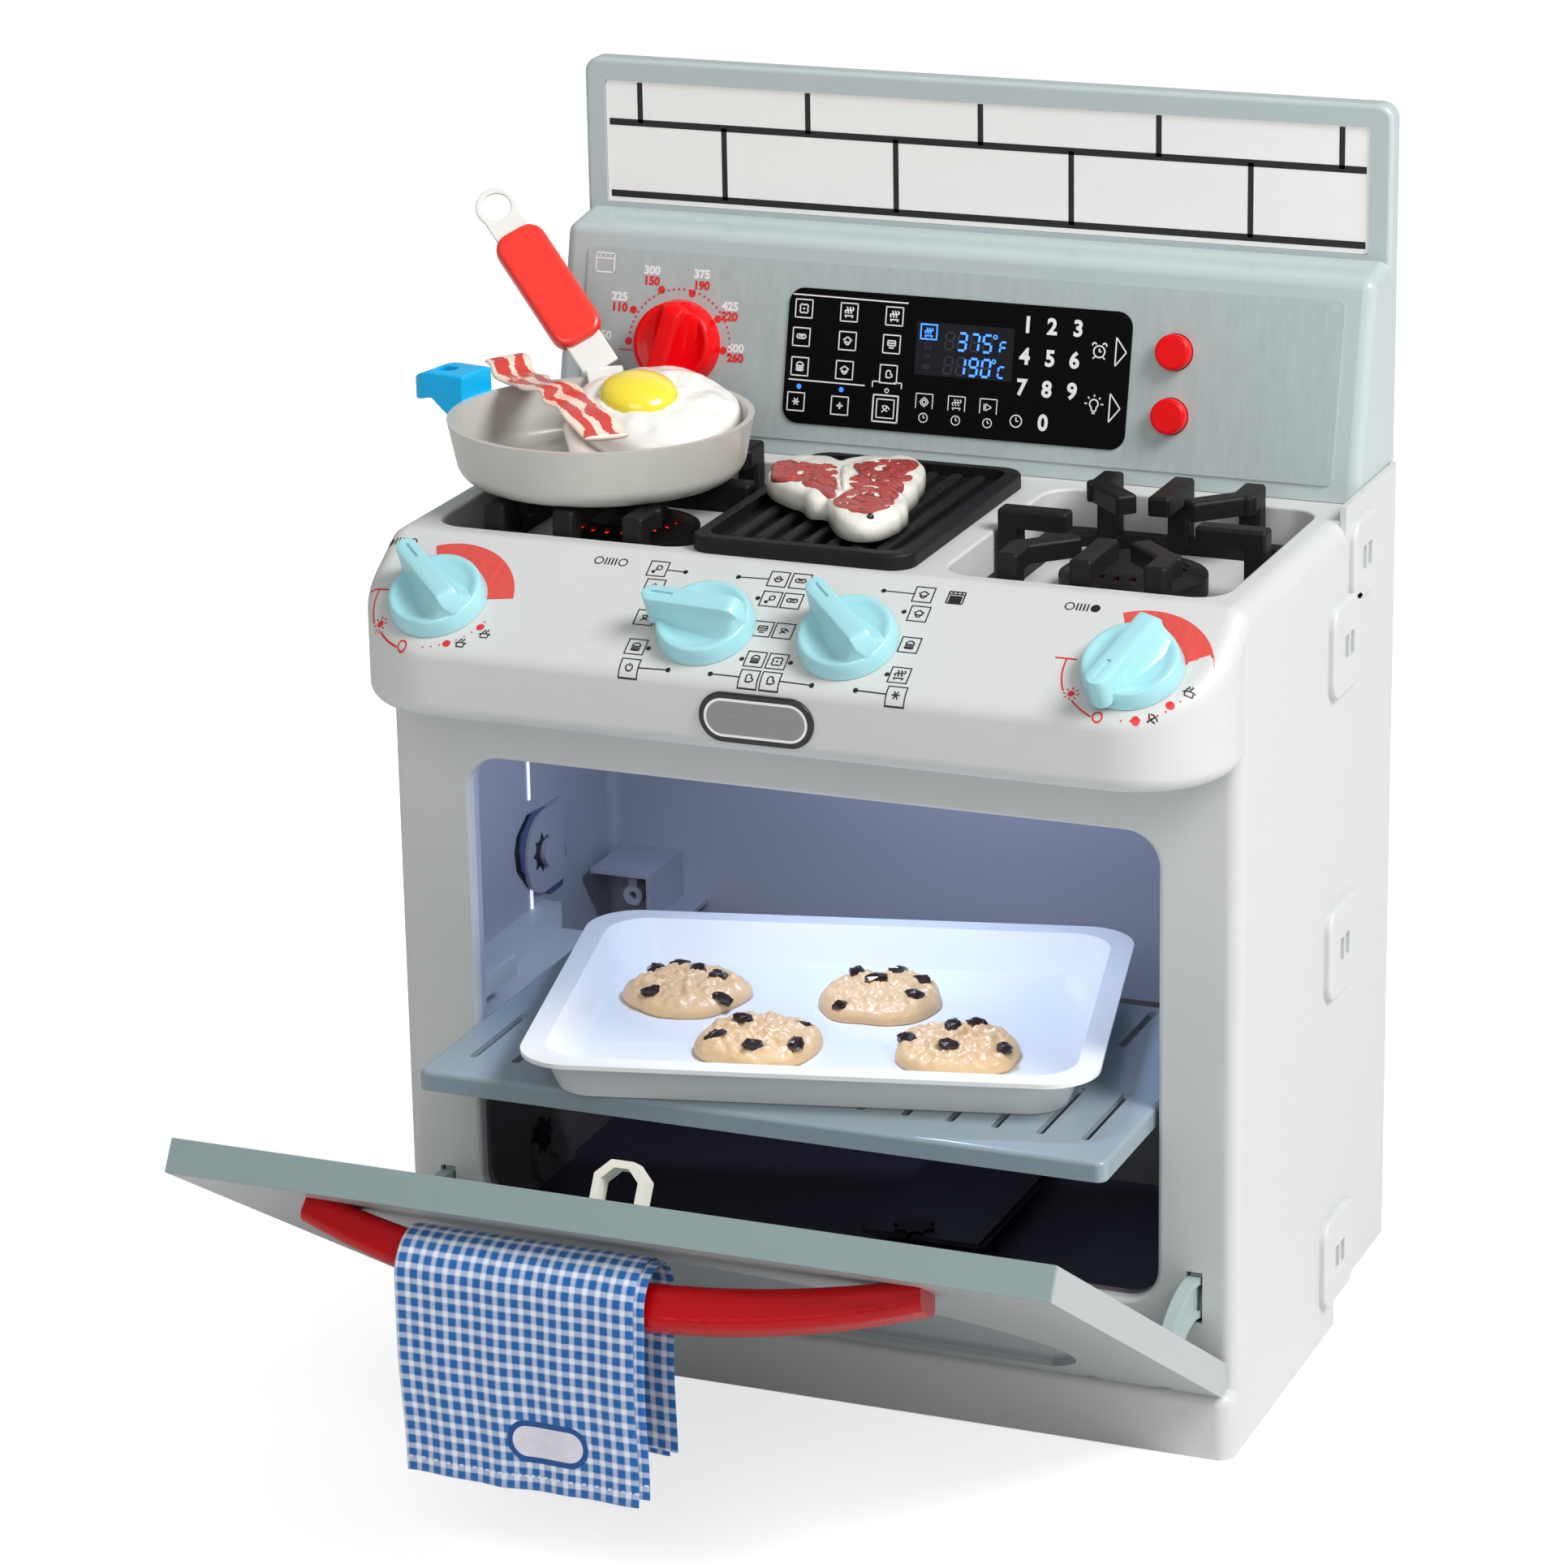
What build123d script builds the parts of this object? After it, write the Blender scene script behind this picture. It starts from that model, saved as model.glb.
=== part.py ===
"""Toy oven with hob, console, drop-down door, shelf and play food.

Frame: millimetres, +X to the right, +Y to the back, +Z up.
The origin is on the floor, in the middle of the body's footprint.
"""
import math
import os

from build123d import *

# ---------------------------------------------------------------- driving sizes
body_width = 432.0
body_depth = 252.0
shell_wall = 3.0
seam_depth = 160.0          # depth of the front shell, where the rear shell starts
corner_radius = 8.0
rear_lift = 16.5            # the rear shell ends this far above the floor
hob_height = 417.0          # top of the hob deck
side_step = 15.0            # from the deck down to the top edge of the front shell's sides
rear_rise = 7.0             # from the deck up to the top edge of the rear shell
floor_height = 20.0         # underside of the oven floor panel
floor_wall = 3.0

opening_width = 352.0
opening_bottom = 72.0
door_lap = 17.0             # the closed door reaches this far above the opening
opening_radius = 17.0
flange_depth = 9.0
plinth_height = 33.2
plinth_reach = 9.0
plinth_edge = 6.0
frame_edge = 3.0

fascia_reach = 56.0
fascia_drop = 39.0          # from the deck down to the fascia's crease
fascia_skirt = 35.0         # upright part of the fascia, below the crease
fascia_corner = 48.0
deck_front = 8.0
hob_edge = 10.0             # rounding of the hob moulding's outer edges
hob_lower_edge = 8.0
well_edge = 1.5

well_inner = 62.0           # a well runs from here to well_outer, either side of the middle
well_outer = 199.0
well_front = 18.0
well_margin = 14.0          # deck between a well and the console
well_depth = 25.0
well_radius = 16.0
well_wall = 2.5

console_rise = 104.5        # from the deck to the console's top edge
console_run = 24.0
ledge_step = 4.0
ledge_depth = 27.0
guard_depth = 11.0
guard_rise = 76.5           # backguard above the ledge
guard_half = 212.6
guard_radius = 8.0
guard_edge = 2.5
console_edge = 6.0
tile_half = 201.4
tile_low_margin = 2.5
tile_high_margin = 11.0
tile_wall = 2.0
tile_recess = 3.0
back_cover_wall = 3.2

label_half = 199.0
label_low = 8.0
label_high = 97.0
label_wall = 0.8
display_left = -87.5
display_right = 93.0
display_low = 16.5
display_high = 84.0
display_wall = 1.6
display_radius = 8.0

knob_radius = 24.0
knob_height = 9.0
knob_taper = 2.5
knob_edge = 2.5
knob_places = (-173.0, -35.5, 35.5, 173.0)
knob_angles = (139.0, 177.0, 138.0, 251.0)
knob_drop = 44.0            # down the slanted face from the deck's front edge
ridge_width = 12.0
ridge_height = 11.0
ridge_overhang = 2.5
ridge_edge = 2.4
mark_length = 11.0
mark_width = 2.4
shaft_radius = 4.0
shaft_clearance = 0.08
retainer_radius = 8.0
retainer_wall = 2.0
dial_radius = 22.4
dial_place = -146.0
dial_up = 51.0
dial_angle = 76.0
dial_height = 12.0

button_radius = 8.8
button_place = 115.5
button_ups = (66.5, 35.2)
button_stand = 7.0
button_travel = 3.0
button_clearance = 0.4
button_flange = 11.5
button_edge = 1.5
switch_height = 4.0

badge_length = 57.0
badge_height = 24.0
badge_wall = 1.6
badge_edge = 0.7
badge_up = 18.0             # badge's middle above the fascia's lower edge

burner_middle = 130.5       # from the middle of the oven to a burner's centre
burner_radius = 35.5
burner_height = 15.0
burner_holes = 20
burner_hole_ring = 25.0
burner_hole_radius = 1.6
led_radius = 1.2
grate_rail = 11.0
grate_rail_height = 7.0
grate_rise = 11.5           # top of the grates above the deck
grate_gap = 1.5
finger_width = 11.0
finger_depth = 9.5
finger_reach = 30.0
side_finger_reach = 24.0
finger_place = 36.0
finger_elbow = 15.0
finger_hook = 17.0
grate_edge = 2.0

griddle_middle = -7.0
griddle_width = 112.0
griddle_front = 12.0
griddle_margin = 13.0       # between the griddle and the console
griddle_radius = 12.0
griddle_plate = 2.0
griddle_rib_gap = 6.0
griddle_height = 7.5
griddle_rim = 7.0
griddle_ribs = 7
griddle_edge = 2.0
griddle_rib_width = 6.4
griddle_rib_drop = 1.5        # ribs below the rim

door_width = 424.0
door_top_gap = 19.0         # between the closed door and the fascia
door_thick = 16.0
door_wall = 3.0
door_edge = 2.0
band_depth = 14.0            # how far the liner's end band reaches down the outer face
band_edge = 4.0
door_gap = 1.0
door_angle = 58.2           # how far the door stands open
hinge_height = 42.0
window_wall = 2.0
window_margin = 56.0        # from the arch's top to the door's end
window_side = 110.0
window_half = 160.0
window_bottom = 24.0
window_foot = 25.0
window_lap = 7.0
liner_window_half = 148.0
liner_window_low = 40.0
liner_window_margin = 82.0
hinge_inner = 150.0         # middle of the inner lug of a hinge
hinge_outer = 186.0
lug_wall = 5.0
lug_radius = 6.0
lug_clearance = 0.6
pin_radius = 2.5
pin_clearance = 0.05

arm_middle = 194.5
arm_wall = 6.0
arm_inner = 27.5
arm_outer = 47.5
arm_web = 2.4
arm_rib = 3.5
arm_lug_outer = 54.0
slot_low = 65.0
slot_high = 91.0
slot_width = 8.0

catch_half = 12.5
catch_reach = 21.0
catch_margin = 30.0         # from the catch's lower end to the door's end
catch_length = 10.0
catch_wall = 3.5
catch_edge = 0.8

handle_half = 150.0
handle_foot = 22.0
handle_margin = 27.0        # from the handle's middle to the door's end
handle_height = 21.0
handle_bow = 44.0           # reach of the outer curve at the middle
handle_end = 18.0           # reach of the outer curve at the ends
handle_inner = 23.0         # reach of the inner curve at the middle

towel_left = -95.0
towel_right = 27.0
handle_round = 5.5
towel_wall = 3.0
towel_front_low = 58.0
towel_back_low = 68.0

shelf_half = 174.0
shelf_length = 200.0
shelf_bottom = 161.0
shelf_height = 10.0
shelf_wall = 3.0
shelf_skirt = 2.5
shelf_edge = 2.4
shelf_closed = 2.0          # front edge behind the front face when pushed home
shelf_travel = 73.0
shelf_slot_pitch = 22.3
shelf_slot_width = 4.0
shelf_slot_counts = 15
shelf_slot_rows = ((24.0, 62.0), (142.0, 50.0))
rail_gap = 0.3
rail_reach = 31.0
rail_cover = 48.0            # length of the lipped ledge over the shelf
rail_wall = 2.4
rail_lip = 10.0
rail_ear = 24.0
rail_rear_gap = 92.0
rail_shelf_gap = 1.6

tray_length = 276.0
tray_depth = 216.0
tray_height = 21.5
tray_wall = 2.2
tray_flare = 8.0
tray_radius = 26.0
tray_rim = 8.0
tray_turn = 13.3
tray_middle = (-1.9, 38.6)
rest_gap = 0.3

cookie_radius = 31.0
cookie_height = 13.0
cookie_places = ((-87.5, 57.0), (-28.0, 5.0), (6.0, 80.0), (66.0, 27.0))

pan_middle = (-139.5, 88.0)
pan_radius = 75.0
pan_base = 69.0
pan_height = 30.0
pan_wall = 2.6
pan_edge = 11.0
pan_handle_angle = 169.0
pan_handle_width = 25.0
pan_handle_wall = 13.0
pan_handle_length = 32.0         # from the rim to the tip
pan_handle_rise = 12.0           # top of the handle above the rim
pan_handle_drop = 5.0            # tip below the handle's top
pan_handle_foot = 14.0           # root below the rim
pan_handle_corner = 9.0
pan_handle_hole = 5.0
pan_handle_edge = 2.5

spatula_wall = 2.0
spatula_width = 56.0
spatula_length = 66.0
spatula_flare = 14.0        # run over which the neck widens into the blade
spatula_neck = 19.0
spatula_seat = 1.6          # underside of the blade above the rim, on the rim's outer edge
spatula_tip = 1.0           # underside of the blade above the pan floor, at the tip
grip_width = 27.0
grip_length = 70.0
grip_wall = 10.0
grip_edge = 3.0

steak_wall = 13.0
steak_edge = 3.0
clip_low = 40.0
clip_middle = 203.0
clip_high_drop = 45.0       # top seam clip below the sides' top edge
clip_length = 46.0
clip_width = 48.0
clip_wall = 3.4
clip_setback = 2.0          # seam clips' darts in front of the seam
top_clip_setback = 26.0     # top clips' darts behind the seam
top_clip_drop = 23.0
top_clip_width = 40.0
tab_radius = 22.0
clip_radius = 9.0
clip_floor = 1.2
clip_edge = 1.5
dart_radius = 4.0
dart_head = 3.0
dart_slot = 6.0

channel_left = 92.0
channel_right = 168.0
channel_front = 56.0
channel_rear_gap = 47.0      # between the channel and the body's back
channel_height = 12.0
bracket_left = 10.0         # gaps of the bracket's sides to the shell's side face
bracket_right = 44.0
bracket_top = 178.0
bracket_foot = 150.0
bracket_reach = 44.0
bracket_wall = 2.4
bracket_tray = 14.0
bracket_boss_radius = 5.5
bracket_bore = 2.2
board_left = -84.0
board_right = 132.0
board_low = 14.0
board_high = 84.0
board_wall = 1.6
board_gap = 11.0
board_post_radius = 3.0
board_post_margin = 5.5
cell_radius = 7.2
cell_length = 50.0
cell_pitch = 18.8
cell_count = 3
hatch_half = 38.0
hatch_up = 15.0             # hatch's lower edge above the deck
hatch_height = 58.0
hatch_gap = 0.3
cell_box_wall = 2.0
speaker_radius = 18.0
speaker_depth = 9.0
speaker_place = -120.0
speaker_up = 53.0
screw_head_radius = 3.5
screw_head_wall = 1.4
cover_screw_place = 190.0
cover_screw_low = 23.0
cover_screw_high = 88.0
ring_radius = 10.5
ring_hole = 7.4
shaft_reach = 116.0         # spatula's shaft, from the pan's rim to the end of its ring
shaft_aim = (-74.7, 31.0, 76.9)
shaft_side = (0.926, 0.377, 0.0)     # lies in the shaft's flat
blade_turn = 22.5           # where the spatula crosses the rim, from straight behind the pan
blade_tip_x = 27.0
blade_tip_y = -22.0
blade_radius = 12.0
egg_foot = 35.0
egg_radius = 41.0
egg_wall = 16.0
egg_along = 57.5
egg_across = 18.0
yolk_radius = 19.0
yolk_height = 9.0
yolk_shift = (-1.4, -8.4)
bacon_width = 20.0
bacon_wall = 3.0
bacon_start = (-216.0, 141.5)
bacon_turn = -43.7
bacon_path = ((0.0, 9.2), (18.0, 4.0), (69.0, 8.6), (105.0, 6.7), (132.0, -0.6))
steak_outline = (
    (-58.0, 108.0), (-40.0, 128.0), (-16.0, 124.0), (6.0, 133.0), (17.0, 122.0), (12.0, 92.0),
    (20.0, 62.0), (10.0, 48.0), (-10.0, 56.0), (-26.0, 76.0), (-50.0, 88.0),
)
steak_corner = 5.0
lamp_depth = 70.0
lamp_width = 60.0
lamp_breadth = 28.0
lamp_drop = 40.0
lamp_wall = 2.0
lens_wall = 2.5

# ---------------------------------------------------------------- heights and depths that follow from them
deck_low = hob_height - shell_wall
side_top = hob_height - side_step
rear_top = hob_height + rear_rise
well_floor = hob_height - well_depth
grate_top = hob_height + grate_rise
fascia_crease = hob_height - fascia_drop
fascia_bottom = fascia_crease - fascia_skirt
badge_middle = fascia_bottom + badge_up
console_top = hob_height + console_rise
ledge_height = console_top + ledge_step
guard_top = ledge_height + guard_rise
tile_bottom = ledge_height + tile_low_margin
tile_top = guard_top - tile_high_margin
ledge_rear = body_depth - guard_depth
console_top_front = ledge_rear - ledge_depth
console_front = console_top_front - console_run
well_rear = console_front - well_margin
burner_depth = (well_front + well_rear) / 2
griddle_length = console_front - griddle_margin - griddle_front
door_length = fascia_bottom - door_top_gap - hinge_height
opening_top = hinge_height + door_length - door_lap
window_top = door_length - window_margin
handle_place = door_length - handle_margin
catch_low = door_length - catch_margin
clip_depth = seam_depth - clip_setback
top_clip_depth = seam_depth + top_clip_setback
top_clip_height = hob_height - top_clip_drop
clip_top = side_top - clip_high_drop
clip_heights = (clip_low, clip_middle, clip_top)
hatch_low = hob_height + hatch_up
hatch_high = hatch_low + hatch_height
front = -body_depth / 2
rear = body_depth / 2
half = body_width / 2
inner_half = half - shell_wall


# ---------------------------------------------------------------- small helpers
def block(x0, x1, y0, y1, z0, z1):
    """Box between two corners."""
    middle = Pos((x0 + x1) / 2, (y0 + y1) / 2, (z0 + z1) / 2)
    return middle * Box(x1 - x0, y1 - y0, z1 - z0)


def slab(x0, x1, y0, y1, z0, z1, radius):
    """Box with rounded vertical edges."""
    outline = RectangleRounded(x1 - x0, y1 - y0, radius)
    return Pos((x0 + x1) / 2, (y0 + y1) / 2, z0) * extrude(outline, z1 - z0)


def window_slab(x0, x1, z0, z1, radius, y0, y1):
    """Upright slab with rounded corners, thick along Y."""
    outline = Plane.XZ * RectangleRounded(x1 - x0, z1 - z0, radius)
    return Pos((x0 + x1) / 2, y1, (z0 + z1) / 2) * extrude(outline, y1 - y0)


def side_profile(points, x0, x1):
    """Prism along X of an outline given as (y, z) points."""
    corners = [(x0, y, z) for y, z in points]
    face = make_face(Polyline(corners, close=True))
    return extrude(face, x1 - x0, dir=(1, 0, 0))


def plan_outline(half_width, y_front, y_rear, radius):
    """Plan outline with the two front corners rounded."""
    corners = [(-half_width, y_front), (half_width, y_front), (half_width, y_rear), (-half_width, y_rear)]
    face = make_face(Polyline(corners, close=True))
    return fillet(face.vertices().sort_by(Axis.Y)[:2], radius)


def rear_plan(half_width, y_front, y_rear, radius):
    """Plan outline with the two rear corners rounded."""
    return Rot(0, 0, 180) * plan_outline(half_width, -y_rear, -y_front, radius)


def cylinder_x(x0, x1, y, z, radius):
    """Cylinder along X."""
    return Pos((x0 + x1) / 2, y, z) * Rot(0, 90, 0) * Cylinder(radius, x1 - x0)


def mirrored(shape):
    """The same shape on the other side of the middle plane."""
    return mirror(shape, about=Plane.YZ)


def at_depth(distance):
    """Y of a point this far behind the front face."""
    return front + distance


# slanted faces, with x to the right, y up the slope and z out of the surface
slant_run = deck_front + fascia_reach
slant_drop = hob_height - fascia_crease
slant_length = math.hypot(slant_run, slant_drop)
fascia_plane = Plane(
    origin=(0, at_depth(deck_front), hob_height),
    x_dir=(1, 0, 0),
    z_dir=(0, -slant_drop / slant_length, slant_run / slant_length),
)
console_slope = math.hypot(console_run, console_rise)
console_plane = Plane(
    origin=(0, at_depth(console_front), hob_height),
    x_dir=(1, 0, 0),
    z_dir=(0, -console_rise / console_slope, console_run / console_slope),
)


# ---------------------------------------------------------------- body shells
def clip_spots():
    """Middles of the seam clips' darts, as (depth behind the front face, height)."""
    return [(clip_depth, height) for height in clip_heights]


def all_clips():
    """Every side clip, as (depth behind the front face, height, width, length)."""
    clips = [(depth, height, clip_width, clip_length) for depth, height in clip_spots()]
    clips.append((top_clip_depth, top_clip_height, top_clip_width, top_clip_width))
    return clips


def dart_holes():
    """Cutters for the darts through both side walls."""
    cutters = []
    for depth, height, width, length in all_clips():
        for side in (-1, 1):
            inside = side * (inner_half - 2 * shell_wall)
            outside = side * (half + 1)
            cutters.append(
                cylinder_x(min(inside, outside), max(inside, outside), at_depth(depth), height, dart_radius)
            )
    return cutters


def opening_slab(margin, y0, y1):
    """Slab of the oven opening's outline, grown by margin."""
    return window_slab(
        -opening_width / 2 - margin, opening_width / 2 + margin,
        opening_bottom - margin, opening_top + margin,
        opening_radius + margin, y0, y1,
    )


def on_opening_rim(edge):
    """True for the edges round the oven opening, on the front face."""
    middle = edge.center()
    within = abs(middle.X) <= opening_width / 2 + 0.1 and opening_bottom - 0.1 <= middle.Z <= opening_top + 0.1
    return within and abs(middle.Y - front) < 0.01 and edge.bounding_box().size.Y < 0.01


def front_shell():
    """Front frame with both side walls, plinth and hinge lugs."""
    outline = plan_outline(half, front, at_depth(seam_depth), corner_radius)
    hollow = plan_outline(inner_half, at_depth(shell_wall), at_depth(seam_depth) + 1, corner_radius - shell_wall / 2)
    body = extrude(outline, side_top)
    plinth_outline = plan_outline(half, front - plinth_reach, front + corner_radius + 1, corner_radius)
    plinth = extrude(plinth_outline, plinth_height)
    nose = [edge for edge in plinth.faces().sort_by(Axis.Z)[-1].edges() if edge.center().Y < front]
    body += fillet(nose, plinth_edge)
    body -= Pos(0, 0, -1) * extrude(hollow, side_top + 2)
    body -= block(
        -inner_half, inner_half, front - plinth_reach + shell_wall, at_depth(shell_wall) + 1,
        -1, plinth_height - shell_wall,
    )
    body += opening_slab(shell_wall, front, at_depth(shell_wall + flange_depth))
    body -= opening_slab(0, front - 1, at_depth(shell_wall + flange_depth) + 1)
    rim = [edge for edge in body.edges() if on_opening_rim(edge)]
    body = body.fillet(frame_edge - 0.5, rim)
    for side in (-1, 1):
        middle = side * arm_middle
        body -= block(
            middle - slot_width / 2, middle + slot_width / 2, front - 1, at_depth(shell_wall) + 1,
            slot_low, slot_high,
        )
        inside = side * (inner_half - shell_wall)
        body += block(
            min(inside, side * inner_half), max(inside, side * inner_half),
            at_depth(shell_wall), at_depth(clip_depth) - tab_radius - rest_gap,
            floor_height - shell_wall, floor_height,
        )
        for lug in (hinge_inner, hinge_outer):
            body += hinge_lug(side * lug)
    for cutter in dart_holes():
        body -= cutter
    return body


def hinge_lug(x):
    """Lug on the front face that carries a hinge pin."""
    lug = cylinder_x(x - lug_wall / 2, x + lug_wall / 2, hinge_y, hinge_height, lug_radius)
    lug += block(
        x - lug_wall / 2, x + lug_wall / 2, hinge_y, front,
        hinge_height - lug_radius, hinge_height + lug_radius,
    )
    return lug - cylinder_x(x - lug_wall, x + lug_wall, hinge_y, hinge_height, pin_radius)


def rear_shell():
    """Back wall with both rear side walls and the locking tabs that reach into the front shell."""
    outline = rear_plan(half, at_depth(seam_depth), rear, corner_radius)
    hollow = rear_plan(inner_half, at_depth(seam_depth) - 1, rear - shell_wall, corner_radius - shell_wall / 2)
    body = Pos(0, 0, rear_lift) * extrude(outline, rear_top - rear_lift)
    body -= Pos(0, 0, rear_lift - 1) * extrude(hollow, rear_top - rear_lift + 2)
    for side in (-1, 1):
        for depth, height in clip_spots():
            outer = side * (inner_half - rest_gap)
            inner = side * (inner_half - rest_gap - shell_wall)
            tab = cylinder_x(min(outer, inner), max(outer, inner), at_depth(depth), height, tab_radius)
            tab += block(
                min(outer, inner), max(outer, inner), at_depth(depth), at_depth(seam_depth) + tab_radius,
                height - tab_radius, height + tab_radius,
            )
            tab += block(
                min(side * inner_half, inner), max(side * inner_half, inner),
                at_depth(seam_depth) + shell_wall, at_depth(seam_depth) + tab_radius,
                height - tab_radius, height + tab_radius,
            )
            body += tab
        inside = side * (inner_half - shell_wall)
        body += block(
            min(inside, side * inner_half), max(inside, side * inner_half),
            at_depth(seam_depth), rear - shell_wall, floor_height - shell_wall, floor_height,
        )
    body += wall_bracket()
    for cutter in dart_holes():
        body -= cutter
    return body


def wall_bracket():
    """Folded bracket on the back wall with a screw boss, at the left of the oven."""
    y0 = rear - shell_wall - bracket_reach
    y1 = rear - shell_wall
    left = -half + bracket_left
    right = -half + bracket_right
    bracket = block(left, right, y0, y1, bracket_top - bracket_wall, bracket_top)
    drop = block(right - bracket_wall, right, y0, y1, bracket_foot, bracket_top)
    tray = block(
        right - bracket_wall, right + bracket_tray, y0, y1,
        bracket_foot, bracket_foot + bracket_wall,
    )
    boss_x = (left + right) / 2 + 2 * bracket_wall
    boss = Pos(boss_x, y1, bracket_top - bracket_tray) * Rot(90, 0, 0)
    tube = boss * extrude(Circle(bracket_boss_radius) - Circle(bracket_bore), bracket_reach - 2 * bracket_wall)
    tie = block(
        boss_x - bracket_wall, boss_x + bracket_wall, y0 + 2 * bracket_wall, y1,
        bracket_top - bracket_tray + bracket_bore + bracket_wall / 2, bracket_top,
    )
    return bracket + drop + tray + tube + tie


def oven_floor():
    """Floor panel of the oven with a raised channel."""
    gap = rest_gap
    panel = slab(
        -inner_half + gap, inner_half - gap, at_depth(shell_wall) + gap, rear - shell_wall - gap,
        floor_height, floor_height + floor_wall, corner_radius,
    )
    for side in (-1, 1):
        edge = side * (inner_half - 2 * rest_gap - shell_wall)
        panel -= block(
            min(edge, side * half), max(edge, side * half),
            at_depth(clip_depth) - tab_radius - gap, at_depth(seam_depth) + tab_radius + gap,
            floor_height - 1, floor_height + floor_wall + 1,
        )
    channel_end = body_depth - channel_rear_gap
    panel += block(
        channel_left, channel_right, at_depth(channel_front), at_depth(channel_end),
        floor_height, floor_height + channel_height,
    )
    return panel - block(
        channel_left + floor_wall, channel_right - floor_wall,
        at_depth(channel_front) - 1, at_depth(channel_end) + 1,
        floor_height - 1, floor_height + channel_height - floor_wall,
    )


# ---------------------------------------------------------------- hob moulding
def hob_blank(inset):
    """Solid under the hob's outer faces, or under its inner faces for an inset of one wall."""
    slope = slant_drop / slant_run
    thick = inset * slant_length / slant_run
    nose = at_depth(inset - fascia_reach)
    deck_edge = at_depth(deck_front) + (thick - inset) / slope
    low = side_top - (1 if inset else 0)
    tail = at_depth(seam_depth) + (1 if inset else 0)
    profile = side_profile(
        [
            (deck_edge, hob_height - inset),
            (nose, hob_height - thick + (nose - at_depth(deck_front)) * slope),
            (nose, fascia_bottom + inset), (front, fascia_bottom + inset),
            (front, low), (tail, low), (tail, hob_height - inset),
        ],
        -half, half,
    )
    corner = fascia_corner - inset
    plan = extrude(plan_outline(half - inset, front - fascia_reach + inset, rear, corner), hob_height)
    blank = (profile & plan).solids()[0]
    slant = [face for face in blank.faces() if (face.normal_at() - fascia_plane.z_dir).length < 0.001][0]
    sides = [
        edge for edge in blank.edges()
        if abs(abs(edge.center().X) - half + inset) < 0.01
        and abs(edge.center().Z - hob_height + inset) < 0.01 and edge.length > deck_front
    ]
    blank = blank.fillet(hob_edge - inset, list(slant.edges()) + sides)
    floor_edges = [
        edge for edge in blank.edges()
        if abs(edge.center().Z - fascia_bottom - inset) < 0.01 and edge.center().Y < front - 1
    ]
    return blank.fillet(hob_lower_edge - inset, floor_edges)


def hob_top():
    """Deck with two wells and the slanted fascia that hangs in front of the body."""
    hob = hob_blank(0) - hob_blank(shell_wall)
    tail = rear_plan(inner_half - rest_gap, at_depth(seam_depth), rear - shell_wall - rest_gap, corner_radius)
    hob += Pos(0, 0, deck_low) * extrude(tail, shell_wall)
    for side in (-1, 1):
        x0, x1 = sorted((side * well_inner, side * well_outer))
        hob += slab(
            x0 - well_wall, x1 + well_wall, at_depth(well_front) - well_wall, at_depth(well_rear) + well_wall,
            well_floor - well_wall, deck_low, well_radius + well_wall,
        )
        hob -= slab(x0, x1, at_depth(well_front), at_depth(well_rear), well_floor, hob_height + 1, well_radius)
    rims = [edge for edge in hob.edges() if on_well_rim(edge)]
    hob = hob.fillet(well_edge, rims)
    for x in knob_places:
        hob -= fascia_plane * Pos(x, -knob_drop, 0) * Cylinder(shaft_radius + shaft_clearance, 5 * shell_wall)
    return hob


def on_well_rim(edge):
    """True for the edges round the two wells, on the deck's top."""
    middle = edge.center()
    within = well_inner - 0.1 <= abs(middle.X) <= well_outer + 0.1
    within = within and at_depth(well_front) - 0.1 <= middle.Y <= at_depth(well_rear) + 0.1
    return within and abs(middle.Z - hob_height) < 0.01


def badge():
    """Blank oval plate on the fascia."""
    plate = extrude(Plane.XZ * SlotOverall(badge_length, badge_height), badge_wall)
    plate = fillet(plate.faces().sort_by(Axis.Y)[0].edges(), badge_edge)
    return Pos(0, front - fascia_reach, badge_middle) * plate


def knob(x, y, angle, radius, height, plane, wall):
    """Knob with a grip ridge that overhangs at the pointer, and a shaft through the panel."""
    place = plane * Pos(x, y, 0) * Rot(0, 0, angle)
    foot = rest_gap
    top = height + ridge_height
    disc = Pos(0, 0, foot + height / 2) * Cone(radius, radius - knob_taper, height)
    disc = fillet(disc.edges().sort_by(Axis.Z)[-1], knob_edge)
    length = 2 * radius + ridge_overhang - knob_taper
    ridge = Pos((ridge_overhang + knob_taper) / 2, 0, foot + top / 2) * Box(length, ridge_width, top)
    ridge = fillet(ridge.edges().filter_by(Axis.Z), ridge_edge)
    ridge = fillet(ridge.faces().sort_by(Axis.Z)[-1].edges(), ridge_edge / 2)
    shaft_length = wall + 3 * retainer_wall
    shaft = Pos(0, 0, foot - shaft_length / 2) * Cylinder(shaft_radius, shaft_length)
    mark = Pos(radius - mark_length / 3, 0, foot + top) * extrude(
        SlotOverall(mark_length, mark_width), -mark_width / 2
    )
    return place * (disc + ridge + shaft - mark)


def knob_retainers():
    """Washers that hold the four hob knobs behind the fascia."""
    washers = []
    for x in knob_places:
        ring = Cylinder(retainer_radius, retainer_wall)
        ring -= Cylinder(shaft_radius + shaft_clearance, 2 * retainer_wall)
        washers.append(fascia_plane * Pos(x, -knob_drop, -shell_wall - retainer_wall / 2) * ring)
    return Compound(washers)


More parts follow.
